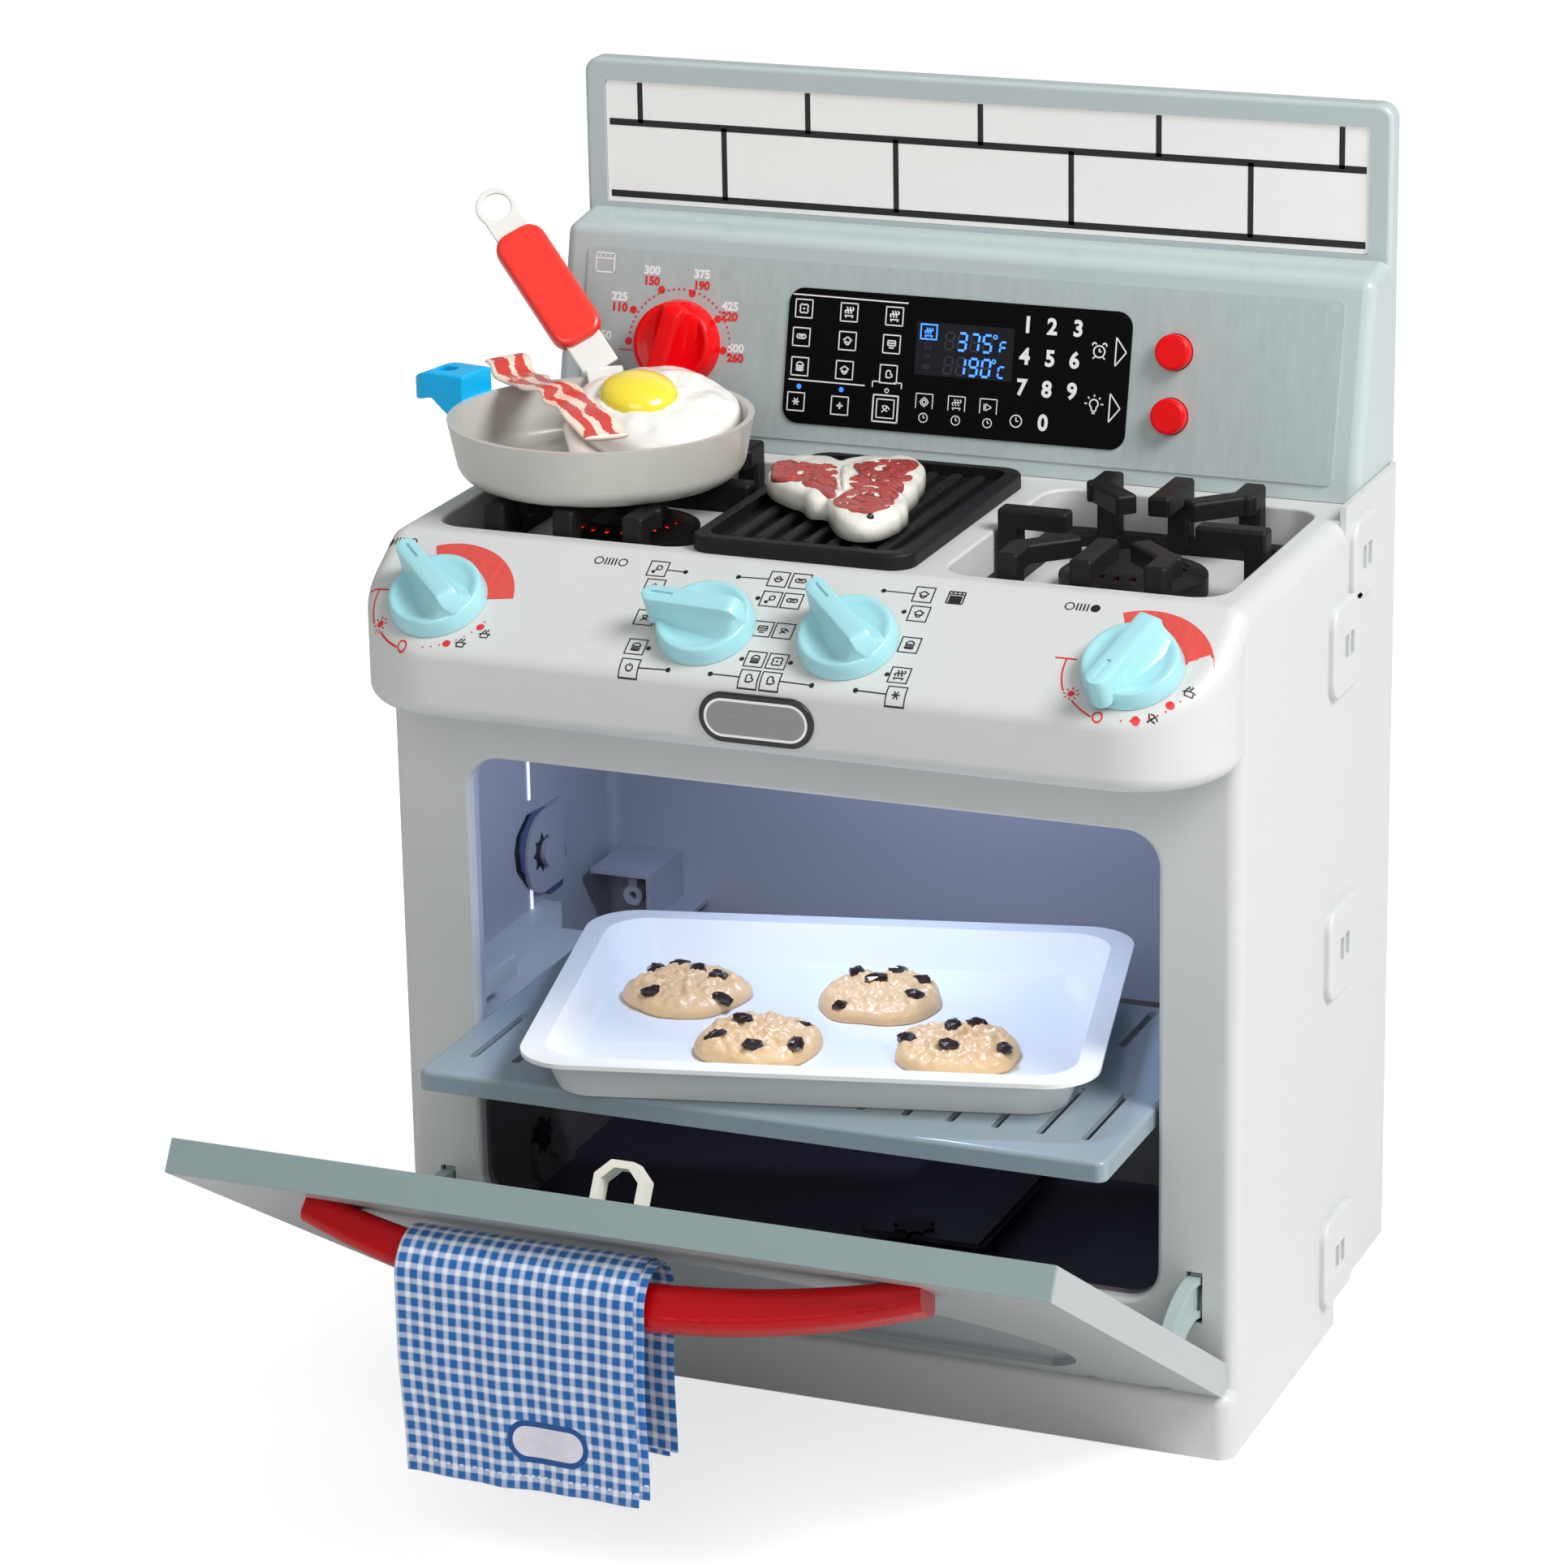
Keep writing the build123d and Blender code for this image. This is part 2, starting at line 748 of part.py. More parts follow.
def burner(side):
    """Burner cap with a ring of flame holes, standing in its well."""
    cap = Pos(0, 0, burner_height * 0.3) * Cylinder(burner_radius, burner_height * 0.6)
    cap += Pos(0, 0, burner_height * 0.8) * Cone(burner_radius - 2.5, burner_radius - 14, burner_height * 0.4)
    cap -= Cylinder(burner_radius - 3, 2 * (burner_height * 0.6 - 3))
    for index in range(burner_holes):
        turn = 360.0 * index / burner_holes
        hole = Rot(0, 0, turn) * Pos(burner_hole_ring, 0, burner_height * 0.75)
        cap -= hole * Cylinder(burner_hole_radius, burner_height)
    return Pos(side * burner_middle, at_depth(burner_depth), well_floor) * cap


def burner_leds():
    """Red lights that stand in every fourth flame hole of both burners."""
    lights = []
    for side in (-1, 1):
        for index in range(burner_holes):
            turn = math.radians(360.0 * index / burner_holes)
            x = side * burner_middle + burner_hole_ring * math.cos(turn)
            y = at_depth(burner_depth) + burner_hole_ring * math.sin(turn)
            height = burner_height * 0.8
            lights.append(Pos(x, y, well_floor + height / 2) * Cylinder(led_radius, height))
    return Compound(lights)


def grate(side):
    """Cast grate: a frame on the well floor with eight fingers that carry a pan."""
    x0 = burner_middle - (well_outer - well_inner) / 2 + grate_gap
    x1 = burner_middle + (well_outer - well_inner) / 2 - grate_gap
    y0 = at_depth(well_front) + grate_gap
    y1 = at_depth(well_rear) - grate_gap
    z0 = well_floor
    frame = slab(x0, x1, y0, y1, z0, z0 + grate_rail_height, well_radius - grate_gap)
    frame -= slab(
        x0 + grate_rail, x1 - grate_rail, y0 + grate_rail, y1 - grate_rail,
        z0 - 1, z0 + grate_rail_height + 1, well_radius - grate_gap,
    )
    middle_x = (x0 + x1) / 2
    middle_y = (y0 + y1) / 2
    inset = finger_depth / 2 + 1.0
    fingers = [
        ((middle_x, y0 + inset), (middle_x, y0 + inset + finger_reach), None),
        ((middle_x, y1 - inset), (middle_x, y1 - inset - finger_reach), None),
        ((x0 + inset, middle_y), (x0 + inset + side_finger_reach, middle_y), None),
        ((x1 - inset, middle_y), (x1 - inset - side_finger_reach, middle_y), None),
    ]
    for sx, sy in ((-1, -1), (1, -1), (-1, 1), (1, 1)):
        edge_y = y0 + inset if sy < 0 else y1 - inset
        start = (middle_x + sx * finger_place, edge_y)
        bend = (middle_x + sx * finger_place, edge_y - sy * finger_elbow)
        tip = (bend[0] - sx * finger_hook, bend[1] - sy * finger_hook)
        fingers.append((start, tip, bend))
    frame = fillet(frame.faces().sort_by(Axis.Z)[-1].edges(), grate_edge)
    for start, tip, bend in fingers:
        frame += finger(start, tip, bend)
    if side > 0:
        return frame
    return mirrored(frame)


def rounded_bar(length, width, height):
    """Bar with rounded upright and top edges."""
    bar = Box(length, width, height)
    bar = fillet(bar.edges().filter_by(Axis.Z), grate_edge)
    return fillet(bar.faces().sort_by(Axis.Z)[-1].edges(), grate_edge)


def finger(start, tip, bend):
    """Post from the grate frame to the top, with a bar that runs inward."""
    top = grate_top
    bar_low = top - finger_depth
    post = rounded_bar(finger_width, finger_width, top - well_floor)
    post = Pos(start[0], start[1], (well_floor + top) / 2) * post
    stops = [start, tip] if bend is None else [start, bend, tip]
    shape = post
    for first, second in zip(stops, stops[1:]):
        length = math.dist(first, second) + finger_width
        turn = math.degrees(math.atan2(second[1] - first[1], second[0] - first[0]))
        bar = rounded_bar(length, finger_width, finger_depth)
        middle = ((first[0] + second[0]) / 2, (first[1] + second[1]) / 2)
        shape += Pos(middle[0], middle[1], (bar_low + top) / 2) * Rot(0, 0, turn) * bar
    return shape


def griddle():
    """Ribbed plate that sits on the deck between the wells."""
    x0 = griddle_middle - griddle_width / 2
    x1 = griddle_middle + griddle_width / 2
    y0 = at_depth(griddle_front)
    y1 = y0 + griddle_length
    z0 = hob_height + rest_gap
    plate = slab(x0, x1, y0, y1, z0, z0 + griddle_height, griddle_radius)
    plate = fillet(plate.faces().sort_by(Axis.Z)[-1].edges(), griddle_edge)
    plate -= slab(
        x0 + griddle_rim, x1 - griddle_rim, y0 + griddle_rim, y1 - griddle_rim,
        z0 + griddle_plate, z0 + griddle_height + 1, griddle_radius - griddle_rim / 2,
    )
    pitch = (griddle_width - 2 * griddle_rim) / (griddle_ribs + 1)
    for index in range(griddle_ribs):
        x = x0 + griddle_rim + pitch * (index + 1)
        rib = slab(
            x - griddle_rib_width / 2, x + griddle_rib_width / 2,
            y0 + griddle_rim + griddle_rib_gap, y1 - griddle_rim - griddle_rib_gap,
            z0 + griddle_plate / 2, z0 + griddle_height - griddle_rib_drop, griddle_rib_width / 2 - 0.1,
        )
        plate += fillet(rib.faces().sort_by(Axis.Z)[-1].edges(), griddle_edge)
    return plate


# ---------------------------------------------------------------- console and backguard
guard_rear = rear - back_cover_wall


def guard_profile(inset):
    """Side outline of the console and backguard, shrunk by inset on its shown faces."""
    slope_y = console_run / console_rise
    grow = inset * console_slope / console_rise
    low = hob_height + rest_gap
    return [
        (at_depth(console_front) + grow + slope_y * (low - hob_height), low),
        (at_depth(console_top_front) + grow - slope_y * inset, console_top - inset),
        (at_depth(ledge_rear) + inset, ledge_height - inset),
        (at_depth(ledge_rear) + inset, guard_top - inset),
        (guard_rear, guard_top - inset),
        (guard_rear, low),
    ]


def guard_blank():
    """Console and backguard as one solid with rounded edges."""
    blank = side_profile(guard_profile(0), -guard_half, guard_half)
    blank &= window_slab(-guard_half, guard_half, 0, guard_top, guard_radius, front, rear)
    blank = blank.solids()[0]
    slant = [face for face in blank.faces() if (face.normal_at() - console_plane.z_dir).length < 0.001][0]
    ledge = [face for face in blank.faces() if near_ledge(face)][0]
    edges = [edge for edge in slant.edges() if edge.center().Z > hob_height + 1]
    edges += [edge for edge in ledge.edges() if abs(edge.center().X) > guard_half - 1]
    blank = blank.fillet(console_edge, edges)
    panel = [face for face in blank.faces() if abs(face.center().Y - at_depth(ledge_rear)) < 0.01][0]
    return blank.fillet(guard_edge, [edge for edge in panel.edges() if edge.center().Z > ledge_height + 1])


def near_ledge(face):
    """True for the nearly level face between console and backguard."""
    middle = face.center()
    between = at_depth(console_top_front) < middle.Y < at_depth(ledge_rear)
    return between and abs(middle.X) < 1 and middle.Z > console_top - 1 and face.normal_at().Z > 0


def backguard():
    """One moulding: slanted console, ledge and tall back panel."""
    body = guard_blank()
    void = side_profile(guard_profile(shell_wall), -guard_half + shell_wall, guard_half - shell_wall)
    lower = void & block(-half, half, front, rear, 0, ledge_height - shell_wall)
    upper = void & block(-half, half, front, rear, ledge_height - shell_wall - 1, guard_top)
    upper = Pos(0, tile_recess, 0) * upper
    upper &= block(-half, half, front, guard_rear + 1, 0, guard_top)
    body -= lower
    body -= upper
    foot_plan = rear_plan(half, front, rear - shell_wall - rest_gap / 2, guard_radius)
    foot_plan = foot_plan & rear_plan(guard_half, front, rear - shell_wall - rest_gap / 2, guard_radius)
    body -= block(-half, half, front, rear, 0, rear_top + rest_gap) - extrude(foot_plan, rear_top + rest_gap)
    body -= window_slab(
        -tile_half, tile_half, tile_bottom, tile_top, 2,
        at_depth(ledge_rear) - 1, at_depth(ledge_rear) + tile_recess,
    )
    shaft_hole = Cylinder(shaft_radius + shaft_clearance, 5 * shell_wall)
    body -= console_plane * Pos(dial_place, dial_up, 0) * shaft_hole
    for up in button_ups:
        hole = Cylinder(button_radius + button_clearance, 5 * shell_wall)
        body -= console_plane * Pos(button_place, up, 0) * hole
    for x in (board_left + board_post_margin, board_right - board_post_margin):
        for up in (board_low + board_post_margin, board_high - board_post_margin):
            post = Pos(x, up, -(shell_wall + board_gap) / 2 - shell_wall / 4)
            body += console_plane * post * Cylinder(board_post_radius, board_gap + shell_wall / 2)
    return body


def console_back():
    """Flat cover on the back of the console and backguard."""
    body = window_slab(-guard_half, guard_half, 0, guard_top, guard_radius, guard_rear, rear)
    body &= block(-half, half, front, rear + 1, rear_top + rest_gap, guard_top)
    body -= hatch_slab(0, guard_rear - 1, rear + 1)
    return body


def hatch_slab(gap, y0, y1):
    """Slab of the battery hatch's outline, smaller by gap all round."""
    return window_slab(
        -hatch_half + gap, hatch_half - gap, hatch_low + gap, hatch_high - gap,
        shell_wall - gap / 2, y0, y1,
    )


def battery_box():
    """Open tray for the cells behind the cover's hatch."""
    inside = 2 * cell_radius + 5.6
    half_in = hatch_half - 4 * cell_box_wall
    outer = block(
        -half_in - 3.5 * cell_box_wall, half_in + 3.5 * cell_box_wall,
        guard_rear - inside - cell_box_wall, guard_rear,
        hatch_low - cell_box_wall, hatch_high + cell_box_wall,
    )
    return outer - block(-half_in, half_in, guard_rear - inside, guard_rear + 1, hatch_low, hatch_high)


def batteries():
    """Cells side by side, one above the other."""
    cells = []
    middle = (hatch_low + hatch_high) / 2
    for index in range(cell_count):
        z = middle + (index - (cell_count - 1) / 2) * cell_pitch
        y = guard_rear - cell_radius - 5.4
        cells.append(cylinder_x(-cell_length / 2, cell_length / 2, y, z, cell_radius))
    return Compound(cells)


def battery_hatch():
    """Hatch in the back cover."""
    return hatch_slab(hatch_gap, guard_rear, rear)


def circuit_board():
    """Board behind the display that carries the switches."""
    depth = -shell_wall - board_gap
    outline = Pos((board_left + board_right) / 2, (board_low + board_high) / 2, depth - board_wall / 2)
    return console_plane * outline * Box(board_right - board_left, board_high - board_low, board_wall)


def push_switches():
    """Two switches on the board, one behind each button."""
    parts = []
    base = -shell_wall - board_gap
    for up in button_ups:
        parts.append(console_plane * Pos(button_place, up, base + switch_height / 2) * Box(8, 8, switch_height))
    return Compound(parts)


def push_button(up):
    """Round button with an inner flange that keeps it in the console."""
    stem_bottom = -shell_wall - board_gap + switch_height + button_travel + rest_gap
    cap = Pos(0, 0, (stem_bottom + button_stand) / 2) * Cylinder(button_radius, button_stand - stem_bottom)
    cap = fillet(cap.edges().sort_by(Axis.Z)[-1], button_edge)
    flange_top = -shell_wall - rest_gap
    flange = Pos(0, 0, (flange_top + stem_bottom) / 2) * Cylinder(button_flange, flange_top - stem_bottom)
    return console_plane * Pos(button_place, up, 0) * (cap + flange)


def speaker():
    """Round speaker on the inside of the back cover."""
    place = Pos(speaker_place, guard_rear, hob_height + speaker_up) * Rot(90, 0, 0)
    return place * extrude(Circle(speaker_radius), speaker_depth)


def tile_panel():
    """Plate with a tiled front, set in the backguard."""
    gap = 0.2
    return window_slab(
        -tile_half + gap, tile_half - gap, tile_bottom + gap, tile_top - gap, 1.8,
        at_depth(ledge_rear) + tile_recess - tile_wall, at_depth(ledge_rear) + tile_recess,
    )


def console_label():
    """Brushed label sheet on the slanted face."""
    sheet = Pos(0, (label_low + label_high) / 2, 0) * extrude(
        RectangleRounded(2 * label_half, label_high - label_low, 3), label_wall
    )
    sheet -= Pos(dial_place, dial_up, 0) * Cylinder(shaft_radius + 1, 5)
    for up in button_ups:
        sheet -= Pos(button_place, up, 0) * Cylinder(button_radius + button_clearance, 5)
    sheet -= display_outline(rest_gap / 2, -1, 2)
    return console_plane * sheet


def display_outline(margin, z0, z1):
    """Rounded plate of the display's size in the console plane."""
    width = display_right - display_left + 2 * margin
    height = display_high - display_low + 2 * margin
    middle = Pos((display_left + display_right) / 2, (display_low + display_high) / 2, z0)
    return middle * extrude(RectangleRounded(width, height, display_radius), z1 - z0)


def display_panel():
    """Black display window in the label."""
    return console_plane * display_outline(0, 0, display_wall)


# ---------------------------------------------------------------- door, modelled closed and then swung open
hinge_y = front - door_gap - door_thick / 2
door_half = door_width / 2
door_skin = door_thick / 2


def swing(shape):
    """Turn a door piece from closed to its standing angle."""
    return Pos(0, hinge_y, hinge_height) * Rot(door_angle, 0, 0) * Pos(0, -hinge_y, -hinge_height) * shape


def door_point(reach, along):
    """World (y, z) of a door point, by its reach outward and its place along the door."""
    turn = math.radians(door_angle)
    y = hinge_y - along * math.sin(turn) - reach * math.cos(turn)
    z = hinge_height + along * math.cos(turn) - reach * math.sin(turn)
    return y, z


def door_solid(x_half, skin, length):
    """Door blank with a half-round hinge end."""
    blank = block(-x_half, x_half, hinge_y - skin, hinge_y + skin, hinge_height, hinge_height + length)
    return blank + cylinder_x(-x_half, x_half, hinge_y, hinge_height, skin)


def window_outline(margin):
    """Arched window outline in the XZ plane, grown by margin."""
    side = window_half + margin
    low = window_bottom - margin
    foot = window_half - window_foot
    points_right = (side, window_side)
    top = ThreePointArc((-side, window_side), (0, window_top + margin), points_right)
    right = ThreePointArc(points_right, (side - 4, (window_side + low) / 2 - 12), (foot, low))
    bottom = Line((foot, low), (-foot, low))
    left = ThreePointArc((-foot, low), (-side + 4, (window_side + low) / 2 - 12), (-side, window_side))
    return make_face([top, right, bottom, left])


def window_prism(margin, y0, y1):
    """Prism of the window outline between two Y planes of the closed door."""
    face = Plane.XZ * window_outline(margin)
    return Pos(0, y1, hinge_height) * extrude(face, y1 - y0)


def lug_notches():
    """Clearance in the door around the hinge lugs."""
    cutters = []
    for side in (-1, 1):
        for lug in (hinge_inner, hinge_outer):
            x = side * lug
            reach = lug_wall / 2 + lug_clearance
            cutters.append(
                block(
                    x - reach, x + reach, hinge_y - door_skin - 1, hinge_y + door_skin + 1,
                    hinge_height - door_skin - 1, hinge_height + lug_radius + 2 * lug_clearance,
                )
            )
    return cutters


def door_outer():
    """White outer skin with both flanks and the arched window cut-out."""
    outer = door_solid(door_half, door_skin, door_length - door_wall)
    inner = door_solid(door_half - door_wall, door_skin - door_wall, door_length)
    body = outer - inner
    body -= block(
        -door_half + door_wall, door_half - door_wall, hinge_y, hinge_y + door_skin + 1,
        hinge_height - door_skin - 1, hinge_height + door_length,
    )
    body -= window_prism(0, hinge_y - door_skin - 1, hinge_y)
    for cutter in lug_notches():
        body -= cutter
    return swing(body)


def door_inner():
    """Grey liner with the end band, inner window and hinge knuckles."""
    gap = 0.2
    x_half = door_half - door_wall - gap
    plate = block(
        -x_half, x_half, hinge_y + door_skin - door_wall, hinge_y + door_skin,
        hinge_height + lug_radius + 3, hinge_height + door_length,
    )
    band = block(
        -door_half, door_half, hinge_y - door_skin, hinge_y + door_skin,
        hinge_height + door_length - door_wall, hinge_height + door_length,
    )
    body = plate + band
    body -= window_slab(
        -liner_window_half, liner_window_half,
        hinge_height + liner_window_low, hinge_height + door_length - liner_window_margin, opening_radius,
        hinge_y, hinge_y + door_skin + 1,
    )
    for side in (-1, 1):
        x0 = hinge_inner + lug_wall / 2 + lug_clearance
        x1 = hinge_outer - lug_wall / 2 - lug_clearance
        a, b = sorted((side * x0, side * x1))
        body += cylinder_x(a, b, hinge_y, hinge_height, lug_radius - 1.2)
        body += block(a, b, hinge_y, hinge_y + door_skin - 0.2, hinge_height, hinge_height + lug_radius + 3.2)
        body += block(
            a, b, hinge_y + door_skin - door_wall, hinge_y + door_skin,
            hinge_height + lug_radius, hinge_height + lug_radius + 4,
        )
        body -= cylinder_x(a - 1, b + 1, hinge_y, hinge_height, pin_radius + pin_clearance)
    return swing(body)


def door_window():
    """Grey translucent pane behind the arched cut-out."""
    pane = window_prism(window_lap, hinge_y - door_skin + door_wall, hinge_y - door_skin + door_wall + window_wall)
    return swing(pane)


def hinge_pins():
    """Two pins through the lugs of the body and the knuckles of the door."""
    pins = []
    for side in (-1, 1):
        a, b = sorted((side * (hinge_inner - lug_wall / 2), side * (hinge_outer + lug_wall / 2)))
        pins.append(cylinder_x(a, b, hinge_y, hinge_height, pin_radius))
    return Compound(pins)


def door_arms():
    """Curved arms that slide through the slots and stop the open door."""
    arms = []
    reach = math.degrees(math.asin((shell_wall + door_gap + door_skin + rest_gap) / arm_lug_outer))
    tail = door_angle + 30.0
    for side in (-1, 1):
        x = side * arm_middle
        sector = arm_sector(arm_inner, arm_outer, -5.0, tail, arm_wall)
        for face in (-1, 1):
            pocket = arm_sector(arm_inner + arm_rib, arm_outer - arm_rib, 8.0, tail - 6.0, arm_wall)
            sector -= Pos(face * (arm_wall + arm_web) / 2, 0, 0) * pocket
        lug = arm_sector(arm_outer - 4, arm_lug_outer, door_angle + reach + 1.5, tail, arm_wall)
        arm = Pos(x, hinge_y, hinge_height) * (sector + lug)
        arm -= block(
            -half, half, hinge_y - 2 * arm_lug_outer, hinge_y + door_skin, -arm_lug_outer, 3 * arm_lug_outer
        )
        arms.append(arm)
    return swing(Compound(arms))


def arm_sector(r0, r1, turn0, turn1, wall):
    """Ring sector about the X axis, from turn0 to turn1 degrees behind the vertical."""
    ring = Rot(0, 90, 0) * (Cylinder(r1, wall) - Cylinder(r0, 2 * wall))
    far = 2 * r1
    middle = math.radians((turn0 + turn1) / 2)
    first = math.radians(turn0)
    last = math.radians(turn1)
    points = [(0, 0)]
    for turn in (first, (first + middle) / 2, middle, (middle + last) / 2, last):
        points.append((far * math.sin(turn), far * math.cos(turn)))
    return ring & side_profile(points, -wall, wall)


def door_catch():
    """Eight-sided hoop on the inner face that hooks the opening's top edge."""
    width = 2 * catch_half
    outer = catch_profile(width, catch_reach, 0)
    inner = catch_profile(width, catch_reach, catch_wall)
    place = Pos(-1, hinge_y + door_skin, hinge_height + catch_low)
    hoop = extrude(outer - inner, catch_length)
    return swing(place * fillet(hoop.edges().filter_by(Axis.Z), catch_edge))


def catch_profile(width, reach, inset):
    """Hoop outline in plan: straight legs with chamfered outer corners."""
    side = width / 2 - inset
    top = reach - inset
    cut = 7.0 - inset * 0.4
    points = [(-side, 0), (-side, top - cut), (-side + cut, top), (side - cut, top), (side, top - cut), (side, 0)]
    return make_face(Polyline(points, close=True))


def bow_reach(middle, end, span, x):
    """Reach of a bow at x, from its reach at the middle and at the ends of its span."""
    sag = middle - end
    radius = (span ** 2 + sag ** 2) / (2 * sag)
    return middle - radius + math.sqrt(radius ** 2 - x ** 2)


bar_outer = bow_reach(handle_bow, handle_end, handle_half, 0)
bar_inner = bow_reach(handle_inner, door_skin, handle_half - handle_foot, towel_left)
towel_pivot = (bar_outer + bar_inner) / 2
bar_corner = math.hypot((bar_outer - bar_inner) / 2 - handle_round, handle_height / 2 - handle_round)
towel_inner = bar_corner + handle_round + rest_gap


def door_handle():
    """Bowed bar that stands off the door's outer face."""
    outer = ThreePointArc((-handle_half, -handle_end), (0, -handle_bow), (handle_half, -handle_end))
    right = Line((handle_half, -handle_end), (handle_half - 2, -door_skin))
    foot_right = Line((handle_half - 2, -door_skin), (handle_half - handle_foot, -door_skin))
    inner = ThreePointArc(
        (handle_half - handle_foot, -door_skin), (0, -handle_inner), (-handle_half + handle_foot, -door_skin)
    )
    foot_left = Line((-handle_half + handle_foot, -door_skin), (-handle_half + 2, -door_skin))
    left = Line((-handle_half + 2, -door_skin), (-handle_half, -handle_end))
    bar = extrude(make_face([outer, right, foot_right, inner, foot_left, left]), handle_height)
    place = Pos(0, hinge_y, hinge_height + handle_place - handle_height / 2)
    long_edges = bar.edges().filter_by(lambda edge: edge.length > handle_half)
    return swing(place * fillet(long_edges, handle_round))


def handle_screws():
    """Screws that pass through the outer skin into the handle's feet."""
    screws = []
    for x in (-handle_half + handle_foot / 2, handle_half - handle_foot / 2):
        head = Pos(x, hinge_y - door_skin + door_wall, hinge_height + handle_place) * Rot(90, 0, 0)
        screws.append(head * Pos(0, 0, -screw_head_wall / 2) * Cylinder(screw_head_radius, screw_head_wall))
    return swing(Compound(screws))


def towel():
    """Folded towel that hangs over the handle, front and back."""
    y, z = door_point(towel_pivot, handle_place)
    ring = Cylinder(towel_inner + towel_wall, towel_right - towel_left)
    ring -= Cylinder(towel_inner, 2 * (towel_right - towel_left))
    loop = Pos((towel_left + towel_right) / 2, y, z) * Rot(0, 90, 0) * ring
    loop &= block(towel_left, towel_right, y - 50, y + 50, z, z + 50)
    loop += block(towel_left, towel_right, y - towel_inner - towel_wall, y - towel_inner, towel_front_low, z)
    loop += block(towel_left, towel_right, y + towel_inner, y + towel_inner + towel_wall, towel_back_low, z)
    return loop


# ---------------------------------------------------------------- shelf, rails and tray
shelf_front = front + shelf_closed - shelf_travel
shelf_top = shelf_bottom + shelf_height


def shelf():
    """Slotted shelf with a skirt, pulled part of the way out."""
    y0 = shelf_front
    y1 = shelf_front + shelf_length
    body = slab(-shelf_half, shelf_half, y0, y1, shelf_bottom, shelf_top, 5)
    body = fillet(body.faces().sort_by(Axis.Z)[-1].edges(), shelf_edge)
    body -= slab(
        -shelf_half + shelf_skirt, shelf_half - shelf_skirt, y0 + shelf_skirt, y1 - shelf_skirt,
        shelf_bottom - 1, shelf_top - shelf_wall, 3,
    )
    first = -(shelf_slot_counts - 1) / 2
    for row_start, row_length in shelf_slot_rows:
        for index in range(shelf_slot_counts):
            x = (first + index) * shelf_slot_pitch
            slot = Pos(x, y0 + row_start + row_length / 2, shelf_top) * Rot(0, 0, 90)
            body -= slot * extrude(SlotOverall(row_length, shelf_slot_width), -2 * shelf_wall)
    return body


def shelf_rail(side):
    """J-shaped rail on the side wall, with a ledge that the shelf runs on."""
    x0 = inner_half - rail_reach
    x1 = inner_half
    y0 = at_depth(shell_wall + flange_depth + rest_gap)
    y1 = rear - rail_rear_gap
    low = shelf_bottom - rail_gap - rail_wall
    high = shelf_top + rail_shelf_gap
    rail = block(x0, x1, y0, y1, low, low + rail_wall)
    rail += block(x0, x1, y0, y0 + rail_cover, high, high + rail_wall)
    rail += block(x0, x0 + rail_wall, y0, y0 + rail_cover, high, high + rail_lip)
    rail += block(x1 - rail_wall, x1, y0, y0 + rail_cover, high, high + rail_ear)
    rail += block(x1 - rail_wall - 8, x1, y0, y1, low, high + rail_wall)
    if side > 0:
        return rail
    return mirrored(rail)


def tray_layer(inset, z):
    """Rounded outline of the tray at one height."""
    outline = RectangleRounded(tray_length - 2 * inset, tray_depth - 2 * inset, tray_radius - inset * 0.4)
    return Pos(0, 0, z) * outline


def baking_tray():
    """Shallow flared tray with a flat rim, turned a little on the shelf."""
    z0 = 0.0
    z1 = tray_height
    outer = loft([tray_layer(tray_rim + tray_flare, z0), tray_layer(tray_rim, z1)])
    inner = loft([
        tray_layer(tray_rim + tray_flare + tray_wall, z0 + tray_wall),
        tray_layer(tray_rim + tray_wall, z1 + tray_wall),
    ])
    rim = Pos(0, 0, z1 - tray_wall) * extrude(tray_layer(0, 0), tray_wall)
    body = outer + rim - inner
    place = Pos(tray_middle[0], front + tray_middle[1], shelf_top + rest_gap) * Rot(0, 0, tray_turn)
    return place * body


def cookie(place):
    """Domed biscuit."""
    z = shelf_top + tray_wall + 2 * rest_gap
    base = extrude(Circle(cookie_radius - 2), cookie_height / 3)
    radius = (cookie_radius ** 2 + (cookie_height - 3) ** 2) / (2 * (cookie_height - 3))
    dome = Pos(0, 0, cookie_height - radius) * Sphere(radius)
    dome &= Pos(0, 0, 3 + cookie_height / 2) * Cylinder(cookie_radius, cookie_height)
    return Pos(place[0], front + place[1], z) * (base + dome)


# ---------------------------------------------------------------- pan, spatula and food
pan_bottom = grate_top + rest_gap
pan_floor = pan_bottom + pan_wall
pan_rim = pan_bottom + pan_height
pan_y = front + pan_middle[1]
blade_bearing = math.radians(blade_turn)


def frying_pan():
    """Round pan with a flared wall."""
    outer = Pos(0, 0, pan_height / 2) * Cone(pan_base, pan_radius, pan_height)
    outer = fillet(outer.edges().sort_by(Axis.Z)[0], pan_edge)
    inner = Pos(0, 0, pan_wall + pan_height / 2) * Cone(pan_base - pan_wall, pan_radius - pan_wall, pan_height)
    inner = fillet(inner.edges().sort_by(Axis.Z)[0], pan_edge - pan_wall)
    return Pos(pan_middle[0], pan_y, pan_bottom) * (outer - inner)


